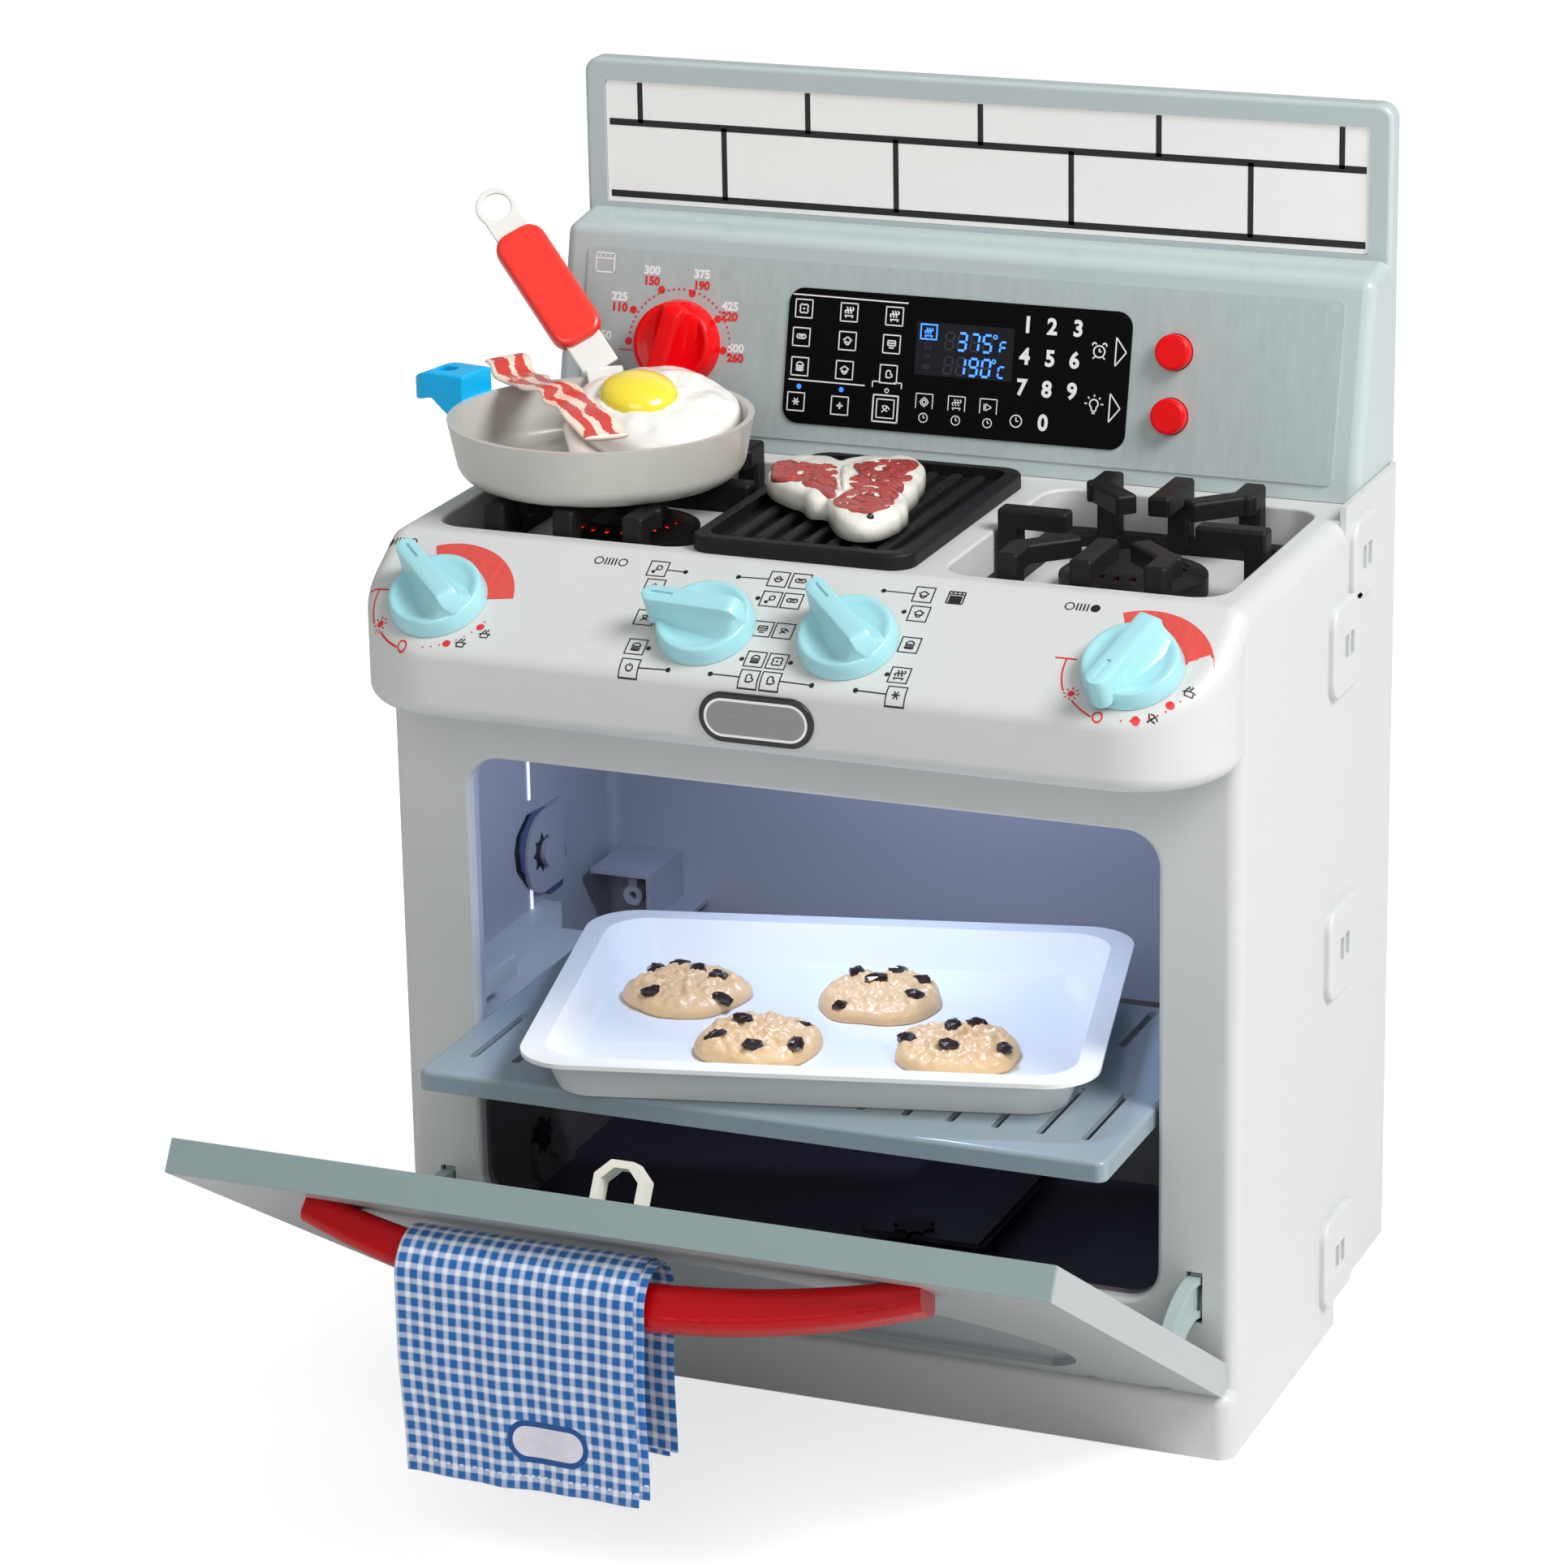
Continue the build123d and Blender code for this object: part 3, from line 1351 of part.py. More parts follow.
def pan_handle():
    """Short blue handle with a hanging hole: its root hugs the wall and its end droops."""
    root = pan_radius - pan_handle_foot / 2
    tip = pan_radius + pan_handle_length
    half = pan_handle_width / 2
    high = pan_handle_rise
    low = high - pan_handle_wall
    drop = pan_handle_drop
    bend = tip - pan_handle_wall
    side = Polyline((root, -pan_handle_foot), (root, high), (bend, high))
    side += ThreePointArc((bend, high), ((bend + tip) / 2 + 1, high - drop * 0.36), (tip, high - drop))
    side += Polyline((tip, high - drop), (tip, low - drop * 0.6), (bend, low))
    side += Polyline((bend, low), (pan_radius + pan_handle_edge, -pan_handle_foot), (root, -pan_handle_foot))
    shape = extrude(Plane.XZ * make_face(side), half, both=True)
    shape &= slab(root - half, tip, -half, half, -pan_handle_foot - 1, high + 1, pan_handle_corner)
    shape -= Pos(tip - pan_handle_wall, 0, 0) * extrude(SlotOverall(14, 2 * pan_handle_hole), 2 * pan_handle_wall, both=True)
    place = Pos(pan_middle[0], pan_y, pan_rim) * Rot(0, 0, pan_handle_angle)
    middle = Pos(pan_middle[0], pan_y, pan_bottom + pan_height / 2)
    void = middle * Cone(pan_base, pan_radius, pan_height)
    void += middle * Pos(0, 0, pan_height) * Cylinder(pan_radius, pan_height)
    return place * shape - void


def spatula_frame():
    """Plane at the pan's back rim: x along the blade towards the tip, z up."""
    rim = pan_radius + 0.5
    back_x = pan_middle[0] - rim * math.sin(blade_bearing)
    back_y = pan_y + rim * math.cos(blade_bearing)
    tip_x = pan_middle[0] + blade_tip_x
    tip_y = pan_y + blade_tip_y
    run = math.hypot(tip_x - back_x, tip_y - back_y)
    rise = pan_rim + spatula_seat - (pan_floor + spatula_tip)
    ahead = Vector(tip_x - back_x, tip_y - back_y, -rise).normalized()
    across = Vector(-(tip_y - back_y), tip_x - back_x, 0).normalized()
    up = ahead.cross(across)
    plane = Plane(origin=(back_x, back_y, pan_rim + spatula_seat), x_dir=ahead, z_dir=up)
    return plane, math.hypot(run, rise)


def spatula():
    """Turner whose blade lies in the pan and whose shaft leans on the back rim."""
    plane, reach = spatula_frame()
    blade = Pos(reach - spatula_length / 2, 0, 0) * extrude(
        RectangleRounded(spatula_length, spatula_width, blade_radius), spatula_wall
    )
    shoulder = reach - spatula_length + blade_radius
    neck = extrude(make_face(flared_outline(-4.0, shoulder - spatula_flare, shoulder)), spatula_wall)
    shaft_plane, shaft_length = shaft_frame()
    shaft = Pos(shaft_length / 2 - 3, 0, 0) * extrude(
        Rectangle(shaft_length - ring_radius, spatula_neck), spatula_wall
    )
    ring_place = Pos(shaft_length - ring_radius, 0, 0)
    shaft += ring_place * extrude(Circle(ring_radius), spatula_wall)
    shaft -= ring_place * Cylinder(ring_hole, 3 * spatula_wall)
    rim_top = pan_rim + rest_gap
    rim = Pos(pan_middle[0], pan_y, rim_top / 2) * Cylinder(pan_radius + rest_gap, rim_top)
    return plane * (blade + neck) + (shaft_plane * shaft - rim)


def flared_outline(start, flare, end):
    """Neck outline: straight to the flare, then widening in two arcs to the blade."""
    narrow = spatula_neck / 2
    wide = spatula_width / 2 - 0.5
    bow = (flare * 0.35 + end * 0.65, narrow + (wide - narrow) * 0.35)
    edge = Polyline((start, -narrow), (start, narrow), (flare, narrow))
    edge += ThreePointArc((flare, narrow), bow, (end, wide))
    edge += Polyline((end, wide), (end, -wide))
    edge += ThreePointArc((end, -wide), (bow[0], -bow[1]), (flare, -narrow))
    return edge + Line((flare, -narrow), (start, -narrow))


def shaft_frame():
    """Plane of the shaft: x along it towards the hanging ring."""
    plane, reach = spatula_frame()
    direction = Vector(*shaft_aim).normalized()
    start = plane.origin + plane.z_dir * 0.2
    side = Vector(*shaft_side)
    side = (side - direction * side.dot(direction)).normalized()
    normal = side.cross(direction)
    return Plane(origin=start, x_dir=direction, z_dir=normal), shaft_reach


def spatula_grip():
    """Red grip around the shaft."""
    plane, length = shaft_frame()
    start = length - 2 * ring_radius - 6 - grip_length
    body = Pos(start + grip_length / 2, 0, spatula_wall / 2 - grip_wall / 2) * extrude(
        RectangleRounded(grip_length, grip_width, 9), grip_wall
    )
    body = fillet(body.faces().sort_by(Axis.Z)[-1].edges() + body.faces().sort_by(Axis.Z)[0].edges(), grip_edge)
    body -= Pos(start + grip_length / 2, 0, 0) * extrude(Rectangle(2 * grip_length, spatula_neck), spatula_wall)
    return plane * body


def egg_plane():
    """Plane on the blade's top where the egg lies."""
    plane, reach = spatula_frame()
    middle = plane.origin + plane.x_dir * egg_along + plane.y_dir * egg_across
    middle = middle + plane.z_dir * (spatula_wall + rest_gap)
    return Plane(origin=middle, x_dir=plane.x_dir, z_dir=plane.z_dir)


def egg_white():
    """White of a fried egg, wider at the top."""
    return egg_plane() * Pos(0, 0, egg_wall / 2) * Cone(egg_foot, egg_radius, egg_wall)


def egg_yolk():
    """Yolk on the white."""
    radius = (yolk_radius ** 2 + yolk_height ** 2) / (2 * yolk_height)
    dome = Pos(0, 0, egg_wall + yolk_height - radius) * Sphere(radius)
    dome &= Pos(0, 0, egg_wall + yolk_height) * Cylinder(2 * yolk_radius, 2 * yolk_height)
    return egg_plane() * Pos(*yolk_shift, 0) * dome


def bacon():
    """Wavy strip that lies over the pan's left rim and the egg's edge."""
    under = [(run, 0, pan_rim + rise - bacon_wall / 2) for run, rise in bacon_path]
    over = [(run, 0, z + bacon_wall) for run, y, z in reversed(under)]
    strip = extrude(make_face(Polyline(under + over, close=True)), bacon_width / 2, both=True)
    return Pos(bacon_start[0], front + bacon_start[1], 0) * Rot(0, 0, bacon_turn) * strip


def steak():
    """T-bone steak, thick enough to stand proud of the griddle's rim."""
    z = hob_height + griddle_height + 2 * rest_gap
    face = make_face(Polyline(*steak_outline, close=True))
    face = fillet(face.vertices(), steak_corner)
    meat = extrude(face, steak_wall)
    return Pos(0, front, z) * fillet(meat.faces().sort_by(Axis.Z)[-1].edges(), steak_edge)


# ---------------------------------------------------------------- clips and lamp
def side_clips():
    """Eight locking clips: a pad outside and a dart through the shell walls."""
    clips = []
    for side in (-1, 1):
        for depth, height, width, length in all_clips():
            y = at_depth(depth)
            wall = shell_wall if depth == top_clip_depth else 2 * shell_wall + rest_gap
            inside = side * (half - wall - dart_head - rest_gap)
            near = side * half
            far = side * (half + clip_wall)
            pad = Plane.YZ * RectangleRounded(width, length, clip_radius)
            pad = extrude(pad, clip_wall)
            pad = fillet(pad.faces().sort_by(Axis.X)[-1 if side > 0 else 0].edges(), clip_edge)
            pad = Pos(near if side > 0 else far, y, height) * pad
            dart = cylinder_x(min(inside, near), max(inside, near), y, height, dart_radius - 0.05)
            tip = inside + side * dart_head
            head = cylinder_x(min(inside, tip), max(inside, tip), y, height, dart_radius + 3)
            floor_x = near + side * clip_floor
            for shift in (-1, 1):
                middle = y + shift * (dart_slot / 2 + 1.5)
                pad -= block(
                    min(floor_x, far + side), max(floor_x, far + side),
                    middle - dart_slot / 2, middle + dart_slot / 2, height - dart_slot, height + dart_slot,
                )
            clips.append(pad + dart + head)
    return Compound(clips)


def lamp_housing():
    """Lamp case under the deck that lights the oven."""
    y = at_depth(lamp_depth)
    body = block(
        -lamp_width / 2, lamp_width / 2, y - lamp_breadth / 2, y + lamp_breadth / 2,
        deck_low - lamp_drop, deck_low,
    )
    return body - lamp_inside(deck_low - lamp_drop - 1, deck_low - 2 * lamp_wall)


def lamp_inside(z0, z1):
    """Block that fills the lamp case's inside between two heights."""
    x = lamp_width / 2 - lamp_wall
    y = at_depth(lamp_depth)
    reach = lamp_breadth / 2 - lamp_wall
    return block(-x, x, y - reach, y + reach, z0, z1)


def lamp_lens():
    """Clear lens in the mouth of the lamp case."""
    return lamp_inside(deck_low - lamp_drop, deck_low - lamp_drop + lens_wall)


def body_screws():
    """Screws that hold the back cover to the console."""
    screws = []
    for x in (-cover_screw_place, cover_screw_place):
        for up in (cover_screw_low, cover_screw_high):
            head = Pos(x, rear, hob_height + up) * Rot(90, 0, 0)
            screws.append(head * extrude(Circle(screw_head_radius), -screw_head_wall))
    return Compound(screws)


nodes = {
    "front_shell": front_shell,
    "rear_shell": rear_shell,
    "oven_floor": oven_floor,
    "hob_top": hob_top,
    "badge": badge,
    "knob_retainers": knob_retainers,
    "burner_left": lambda: burner(-1),
    "burner_right": lambda: burner(1),
    "burner_leds": burner_leds,
    "grate_left": lambda: grate(-1),
    "grate_right": lambda: grate(1),
    "griddle": griddle,
    "backguard": backguard,
    "console_back": console_back,
    "battery_box": battery_box,
    "batteries": batteries,
    "battery_hatch": battery_hatch,
    "circuit_board": circuit_board,
    "push_switches": push_switches,
    "speaker": speaker,
    "tile_panel": tile_panel,
    "console_label": console_label,
    "display_panel": display_panel,
    "door_outer": door_outer,
    "door_inner": door_inner,
    "door_window": door_window,
    "hinge_pins": hinge_pins,
    "door_arms": door_arms,
    "door_catch": door_catch,
    "door_handle": door_handle,
    "handle_screws": handle_screws,
    "towel": towel,
    "shelf": shelf,
    "rail_left": lambda: shelf_rail(-1),
    "rail_right": lambda: shelf_rail(1),
    "baking_tray": baking_tray,
    "frying_pan": frying_pan,
    "pan_handle": pan_handle,
    "spatula": spatula,
    "spatula_grip": spatula_grip,
    "egg_white": egg_white,
    "egg_yolk": egg_yolk,
    "bacon": bacon,
    "steak": steak,
    "side_clips": side_clips,
    "lamp_housing": lamp_housing,
    "lamp_lens": lamp_lens,
    "body_screws": body_screws,
    "dial": lambda: knob(
        dial_place, dial_up, dial_angle, dial_radius, dial_height, console_plane.offset(label_wall),
        shell_wall + label_wall,
    ),
    "button_upper": lambda: push_button(button_ups[0]),
    "button_lower": lambda: push_button(button_ups[1]),
}
for number, (place, angle) in enumerate(zip(knob_places, knob_angles), start=1):
    nodes[f"knob_{number}"] = lambda place=place, angle=angle: knob(
        place, -knob_drop, angle, knob_radius, knob_height, fascia_plane, shell_wall
    )
for number, place in enumerate(cookie_places, start=1):
    nodes[f"cookie_{number}"] = lambda place=place: cookie(place)

if __name__ == "__main__":
    os.makedirs("parts", exist_ok=True)
    for name, make in nodes.items():
        shape = make()
        export_step(shape, f"parts/{name}.step")
        print(name, len(shape.solids()), round(shape.volume, 1))
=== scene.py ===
import math
import bpy
from mathutils import Matrix, Vector, noise
from mathutils.bvhtree import BVHTree


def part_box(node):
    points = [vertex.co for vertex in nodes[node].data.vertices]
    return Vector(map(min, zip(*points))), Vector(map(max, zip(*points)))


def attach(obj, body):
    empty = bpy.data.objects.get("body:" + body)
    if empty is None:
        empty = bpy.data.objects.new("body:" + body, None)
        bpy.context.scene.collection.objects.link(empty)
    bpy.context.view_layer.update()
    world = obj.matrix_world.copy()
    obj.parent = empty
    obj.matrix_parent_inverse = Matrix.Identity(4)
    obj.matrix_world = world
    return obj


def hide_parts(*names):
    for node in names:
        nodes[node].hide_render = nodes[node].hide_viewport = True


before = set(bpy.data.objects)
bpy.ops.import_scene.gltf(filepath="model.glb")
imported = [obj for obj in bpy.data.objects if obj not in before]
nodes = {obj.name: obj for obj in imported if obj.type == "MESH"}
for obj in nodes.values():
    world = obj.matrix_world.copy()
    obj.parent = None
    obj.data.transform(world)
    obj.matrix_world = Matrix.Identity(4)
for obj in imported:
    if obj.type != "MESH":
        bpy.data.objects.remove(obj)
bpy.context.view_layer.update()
mm = 0.001


# ---- materials ----
def linear(colour):
    return tuple(((c / 255 + 0.055) / 1.055) ** 2.4 if c > 10 else c / 255 / 12.92 for c in colour) + (1,)


def blankMaterial(name):
    mat = bpy.data.materials.new(name)
    mat.use_nodes = True
    tree = mat.node_tree
    return mat, tree, tree.nodes["Principled BSDF"]


def addNode(tree, kind, inputs=None, **settings):
    node = tree.nodes.new("ShaderNode" + kind)
    for key, value in settings.items():
        setattr(node, key, value)
    for key, value in (inputs or {}).items():
        if isinstance(value, bpy.types.NodeSocket):
            tree.links.new(value, node.inputs[key])
        else:
            node.inputs[key].default_value = value
    return node


def calc(tree, kind, first, second=0.0):
    return addNode(tree, "Math", {0: first, 1: second}, operation=kind).outputs[0]


def blend(tree, factor, first, second):
    return addNode(tree, "Mix", {"Factor": factor, 6: first, 7: second}, data_type="RGBA").outputs[2]


def plastic(name, colour, rough=0.36, shade=0.93, cloud=14, grain=900, bump=0.02, coat=0.0, streak=None, spec=0.5):
    # two close tones in slow clouds, fine moulding grain, and gloss that varies a little
    mat, tree, shader = blankMaterial(name)
    place = addNode(tree, "TexCoord").outputs["Object"]
    if streak:
        place = addNode(tree, "Mapping", {"Vector": place, "Scale": streak}).outputs["Vector"]
    clouds = addNode(tree, "TexNoise", {"Vector": place, "Scale": cloud, "Detail": 4.0, "Roughness": 0.6})
    base = linear(colour)
    dark = tuple(c * shade for c in base[:3]) + (1,)
    tree.links.new(blend(tree, clouds.outputs["Fac"], dark, base), shader.inputs["Base Color"])
    gloss = addNode(tree, "MapRange", {
        "Value": clouds.outputs["Fac"], "To Min": rough * 0.85, "To Max": rough * 1.15})
    tree.links.new(gloss.outputs["Result"], shader.inputs["Roughness"])
    grains = addNode(tree, "TexNoise", {"Vector": place, "Scale": grain, "Detail": 2.0})
    relief = addNode(tree, "Bump", {"Height": grains.outputs["Fac"], "Strength": bump, "Distance": 0.001})
    tree.links.new(relief.outputs["Normal"], shader.inputs["Normal"])
    shader.inputs["Coat Weight"].default_value = coat
    shader.inputs["Specular IOR Level"].default_value = spec
    shader.inputs["Coat Roughness"].default_value = 0.12
    return mat


def glow(name, colour, strength, base=(20, 20, 20)):
    mat, tree, shader = blankMaterial(name)
    shader.inputs["Base Color"].default_value = linear(base)
    shader.inputs["Emission Color"].default_value = linear(colour)
    shader.inputs["Emission Strength"].default_value = strength
    return mat


def dress(mat, names):
    for name in names:
        obj = nodes[name]
        if not obj.material_slots:
            obj.data.materials.append(mat)
        for slot in obj.material_slots:
            slot.material = mat


finishes = {
    "shellPlastic": dict(colour=(205, 207, 205), rough=0.42, shade=0.97, nodes=(
        "front_shell", "rear_shell", "hob_top", "side_clips")),
    "consolePlastic": dict(colour=(184, 196, 197), rough=0.3, coat=0.3, shade=0.96, nodes=("backguard", "console_back")),
    "labelFilm": dict(colour=(184, 197, 197), rough=0.34, shade=0.76, cloud=30, streak=(9, 9, 0.25), nodes=(
        "console_label",)),
    "tileWhite": dict(colour=(248, 248, 246), rough=0.3, shade=0.97, coat=0.3, nodes=("tile_panel",)),
    "displayBlack": dict(colour=(7, 7, 9), rough=0.3, shade=0.8, bump=0.004, spec=0.08, nodes=("display_panel",)),
    "knobBlue": dict(colour=(162, 216, 223), rough=0.32, shade=0.94, coat=0.25, nodes=(
        "knob_1", "knob_2", "knob_3", "knob_4")),
    "signalRed": dict(colour=(242, 0, 10), rough=0.26, shade=0.9, coat=0.05, spec=0.25, nodes=(
        "dial", "button_upper", "button_lower")),
    "handleRed": dict(colour=(184, 0, 10), rough=0.28, shade=0.9, coat=0.05, spec=0.25, nodes=("door_handle",)),
    "doorWhite": dict(colour=(164, 168, 169), rough=0.32, shade=0.96, coat=0.2, nodes=("door_outer",)),
    "doorGrey": dict(colour=(133, 150, 151), rough=0.36, shade=0.95, nodes=("door_inner",)),
    "armGrey": dict(colour=(168, 184, 184), rough=0.34, shade=0.95, nodes=("door_arms",)),
    "ivory": dict(colour=(232, 228, 216), rough=0.4, shade=0.94, nodes=("door_catch",)),
    "shelfGrey": dict(colour=(144, 160, 168), rough=0.26, shade=0.95, coat=0.3, nodes=("shelf",)),
    "railGrey": dict(colour=(196, 203, 206), rough=0.38, shade=0.95, nodes=("rail_left", "rail_right")),
    "trayWhite": dict(colour=(236, 237, 235), rough=0.3, shade=0.97, coat=0.2, nodes=("baking_tray",)),
    "panGrey": dict(colour=(195, 193, 186), rough=0.3, shade=0.94, coat=0.2, nodes=("frying_pan",)),
    "panBlue": dict(colour=(0, 182, 242), rough=0.3, shade=0.92, spec=0.3, nodes=("pan_handle",)),
    "spatulaGrey": dict(colour=(226, 225, 220), rough=0.34, shade=0.95, nodes=("spatula",)),
    "gripRed": dict(colour=(240, 52, 40), rough=0.28, shade=0.9, coat=0.4, nodes=("spatula_grip",)),
    "castBlack": dict(colour=(24, 22, 22), rough=0.5, shade=0.75, spec=0.25, cloud=40, bump=0.12, grain=1400, nodes=(
        "grate_left", "grate_right", "griddle", "burner_left", "burner_right")),
    "floorDark": dict(colour=(52, 49, 60), rough=0.42, shade=0.85, nodes=("oven_floor",)),
    "badgeBlack": dict(colour=(22, 21, 21), rough=0.3, shade=0.8, coat=0.3, nodes=("badge",)),
    "batteryGreen": dict(colour=(36, 96, 58), rough=0.4, nodes=("circuit_board", "batteries")),
    "hiddenGrey": dict(colour=(150, 150, 150), rough=0.5, nodes=(
        "battery_box", "battery_hatch", "push_switches", "speaker", "knob_retainers", "lamp_housing")),
}
finishMats = {}
for finishName, look in finishes.items():
    names = look.pop("nodes")
    finishMats[finishName] = plastic(finishName, **look)
    dress(finishMats[finishName], names)


def paintCavityLightAndShade(mat, paintedRooms):
    # painted light and shade inside the oven, mixed into the shell colour by position: every room is low corner, high
    # corner, colour and share
    tree = mat.node_tree
    shader = tree.nodes["Principled BSDF"]
    colour = shader.inputs["Base Color"].links[0].from_socket
    split = addNode(tree, "SeparateXYZ", {"Vector": addNode(tree, "NewGeometry").outputs["Position"]})
    for low, high, paintedTone, share in paintedRooms:
        inside = share
        for axis, a, b in zip("XYZ", low, high):
            for test, edge in (("GREATER_THAN", a), ("LESS_THAN", b)):
                inside = calc(tree, "MULTIPLY", calc(tree, test, split.outputs[axis], edge), inside)
        colour = blend(tree, inside, colour, linear(paintedTone))
    tree.links.new(colour, shader.inputs["Base Color"])


# painted lamp light: the upper room tints the cavity walls bluish; painted shade: the lower room darkens the low part
# of the cavity to brown
paintCavityLightAndShade(finishMats["shellPlastic"], (
    ((-0.2135, -0.119, 0.125), (0.2135, 0.13, 0.33), (128, 130, 162), 0.5),
    ((-0.2135, -0.119, 0.016), (0.2135, 0.13, 0.125), (84, 66, 58), 0.85),
))

steel = plastic("screwSteel", (168, 168, 170), rough=0.3, shade=0.85, cloud=60)
steel.node_tree.nodes["Principled BSDF"].inputs["Metallic"].default_value = 1.0
smoked = plastic("smokedPane", (160, 170, 174), rough=0.22, shade=0.95, coat=0.4)
smoked.node_tree.nodes["Principled BSDF"].inputs["Transmission Weight"].default_value = 0.35
lensGlow = glow("lampLens", (150, 160, 255), 1.2, base=(220, 225, 255))
ledRed = glow("ledRed", (255, 30, 10), 5.0, base=(120, 10, 5))


dress(steel, ("hinge_pins", "handle_screws", "body_screws"))
dress(smoked, ("door_window",))
dress(lensGlow, ("lamp_lens",))
# only the left burner glows
tree = ledRed.node_tree
where = addNode(tree, "SeparateXYZ", {"Vector": addNode(tree, "NewGeometry").outputs["Position"]})
power = calc(tree, "MULTIPLY", calc(tree, "LESS_THAN", where.outputs["X"]), 5.0)
tree.links.new(power, tree.nodes["Principled BSDF"].inputs["Emission Strength"])
dress(ledRed, ("burner_leds",))
for name, voxel, passes in (("pan_handle", 0.0006, 14), ("spatula", 0.0005, 5), ("spatula_grip", 0.0007, 8)):
    remesh = nodes[name].modifiers.new("evenSkin", "REMESH")
    remesh.mode = "VOXEL"
    remesh.voxel_size = voxel
    remesh.use_smooth_shade = True
    soften = nodes[name].modifiers.new("softEdges", "SMOOTH")
    soften.factor = 0.6
    soften.iterations = passes
print("stage: finishes on the packed nodes")


# ---- building pieces ----
def makePiece(name, verts, faces, mats, body, smooth=True, faceMats=None):
    data = bpy.data.meshes.new(name)
    data.from_pydata([Vector(v) * mm for v in verts], [], faces)
    for mat in mats if isinstance(mats, (list, tuple)) else [mats]:
        data.materials.append(mat)
    if faceMats:
        data.polygons.foreach_set("material_index", faceMats)
    data.polygons.foreach_set("use_smooth", [smooth] * len(data.polygons))
    data.update()
    obj = bpy.data.objects.new(name, data)
    bpy.context.scene.collection.objects.link(obj)
    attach(obj, body)
    return obj


def unit(vector):
    return Vector(vector).normalized()


# flat places that carry prints: origin, right and up along the face, in mm
def flatPlace(origin, up):
    right = Vector((1, 0, 0))
    up = unit(up)
    return {"origin": Vector(origin), "right": right, "up": up, "out": right.cross(up)}


fasciaPlace = flatPlace((0, -118, 417), (0, 64, 39))
consolePlace = flatPlace((0, 64, 417), (0, 24, 104.5))
tilePlace = flatPlace((0, 116, 0), (0, 0, 1))
badgePlace = flatPlace((0, -182, 361), (0, 0, 1))


def newInk():
    return {"verts": [], "faces": []}


def inkPoly(ink, points):
    first = len(ink["verts"])
    ink["verts"] += points
    ink["faces"].append(tuple(range(first, first + len(points))))


def inkArc(ink, u, v, radius, width, start=0.0, end=360.0, steps=None):
    # a ring or part of one, as quads; angles run anticlockwise from the right
    steps = steps or max(4, int(abs(end - start) / 12))
    for index in range(steps):
        corners = []
        for turn, side in ((0, -1), (0, 1), (1, 1), (1, -1)):
            angle = math.radians(start + (end - start) * (index + turn) / steps)
            reach = radius + side * width / 2
            corners.append((u + reach * math.cos(angle), v + reach * math.sin(angle)))
        inkPoly(ink, corners)


def inkDisc(ink, u, v, radius, steps=20):
    for index in range(steps):
        a = 2 * math.pi * index / steps
        b = 2 * math.pi * (index + 1) / steps
        inkPoly(ink, [(u, v), (u + radius * math.cos(a), v + radius * math.sin(a)),
                      (u + radius * math.cos(b), v + radius * math.sin(b))])


def inkLine(ink, u0, v0, u1, v1, width):
    along = Vector((u1 - u0, v1 - v0))
    length = along.length
    if length < 1e-6:
        return
    side = Vector((-along.y, along.x)) / length * width / 2
    parts = max(1, math.ceil(length / 1.6))
    for index in range(parts):
        a = Vector((u0, v0)) + along * index / parts
        b = Vector((u0, v0)) + along * (index + 1) / parts
        inkPoly(ink, [tuple(a - side), tuple(b - side), tuple(b + side), tuple(a + side)])


def inkFrame(ink, u, v, halfU, halfV, width):
    for a, b in (((-1, -1), (1, -1)), ((1, -1), (1, 1)), ((1, 1), (-1, 1)), ((-1, 1), (-1, -1))):
        grow = width / 2
        inkLine(ink, u + a[0] * halfU - (b[0] - a[0]) / 2 * grow, v + a[1] * halfV - (b[1] - a[1]) / 2 * grow,
                u + b[0] * halfU + (b[0] - a[0]) / 2 * grow, v + b[1] * halfV + (b[1] - a[1]) / 2 * grow, width)


def inkText(ink, text, u, v, size, weight=0.0, squeeze=1.0):
    font = bpy.data.curves.new("digits", "FONT")
    font.body = text
    font.size = size
    font.align_x = "CENTER"
    font.align_y = "CENTER"
    font.offset = weight
    font.resolution_u = 3
    holder = bpy.data.objects.new("digits", font)
    shape = bpy.data.meshes.new_from_object(holder)
    first = len(ink["verts"])
    ink["verts"] += [(u + vert.co.x * squeeze, v + vert.co.y) for vert in shape.vertices]
    ink["faces"] += [tuple(first + index for index in face.vertices) for face in shape.polygons]
    bpy.data.objects.remove(holder)
    bpy.data.meshes.remove(shape)
    bpy.data.curves.remove(font)


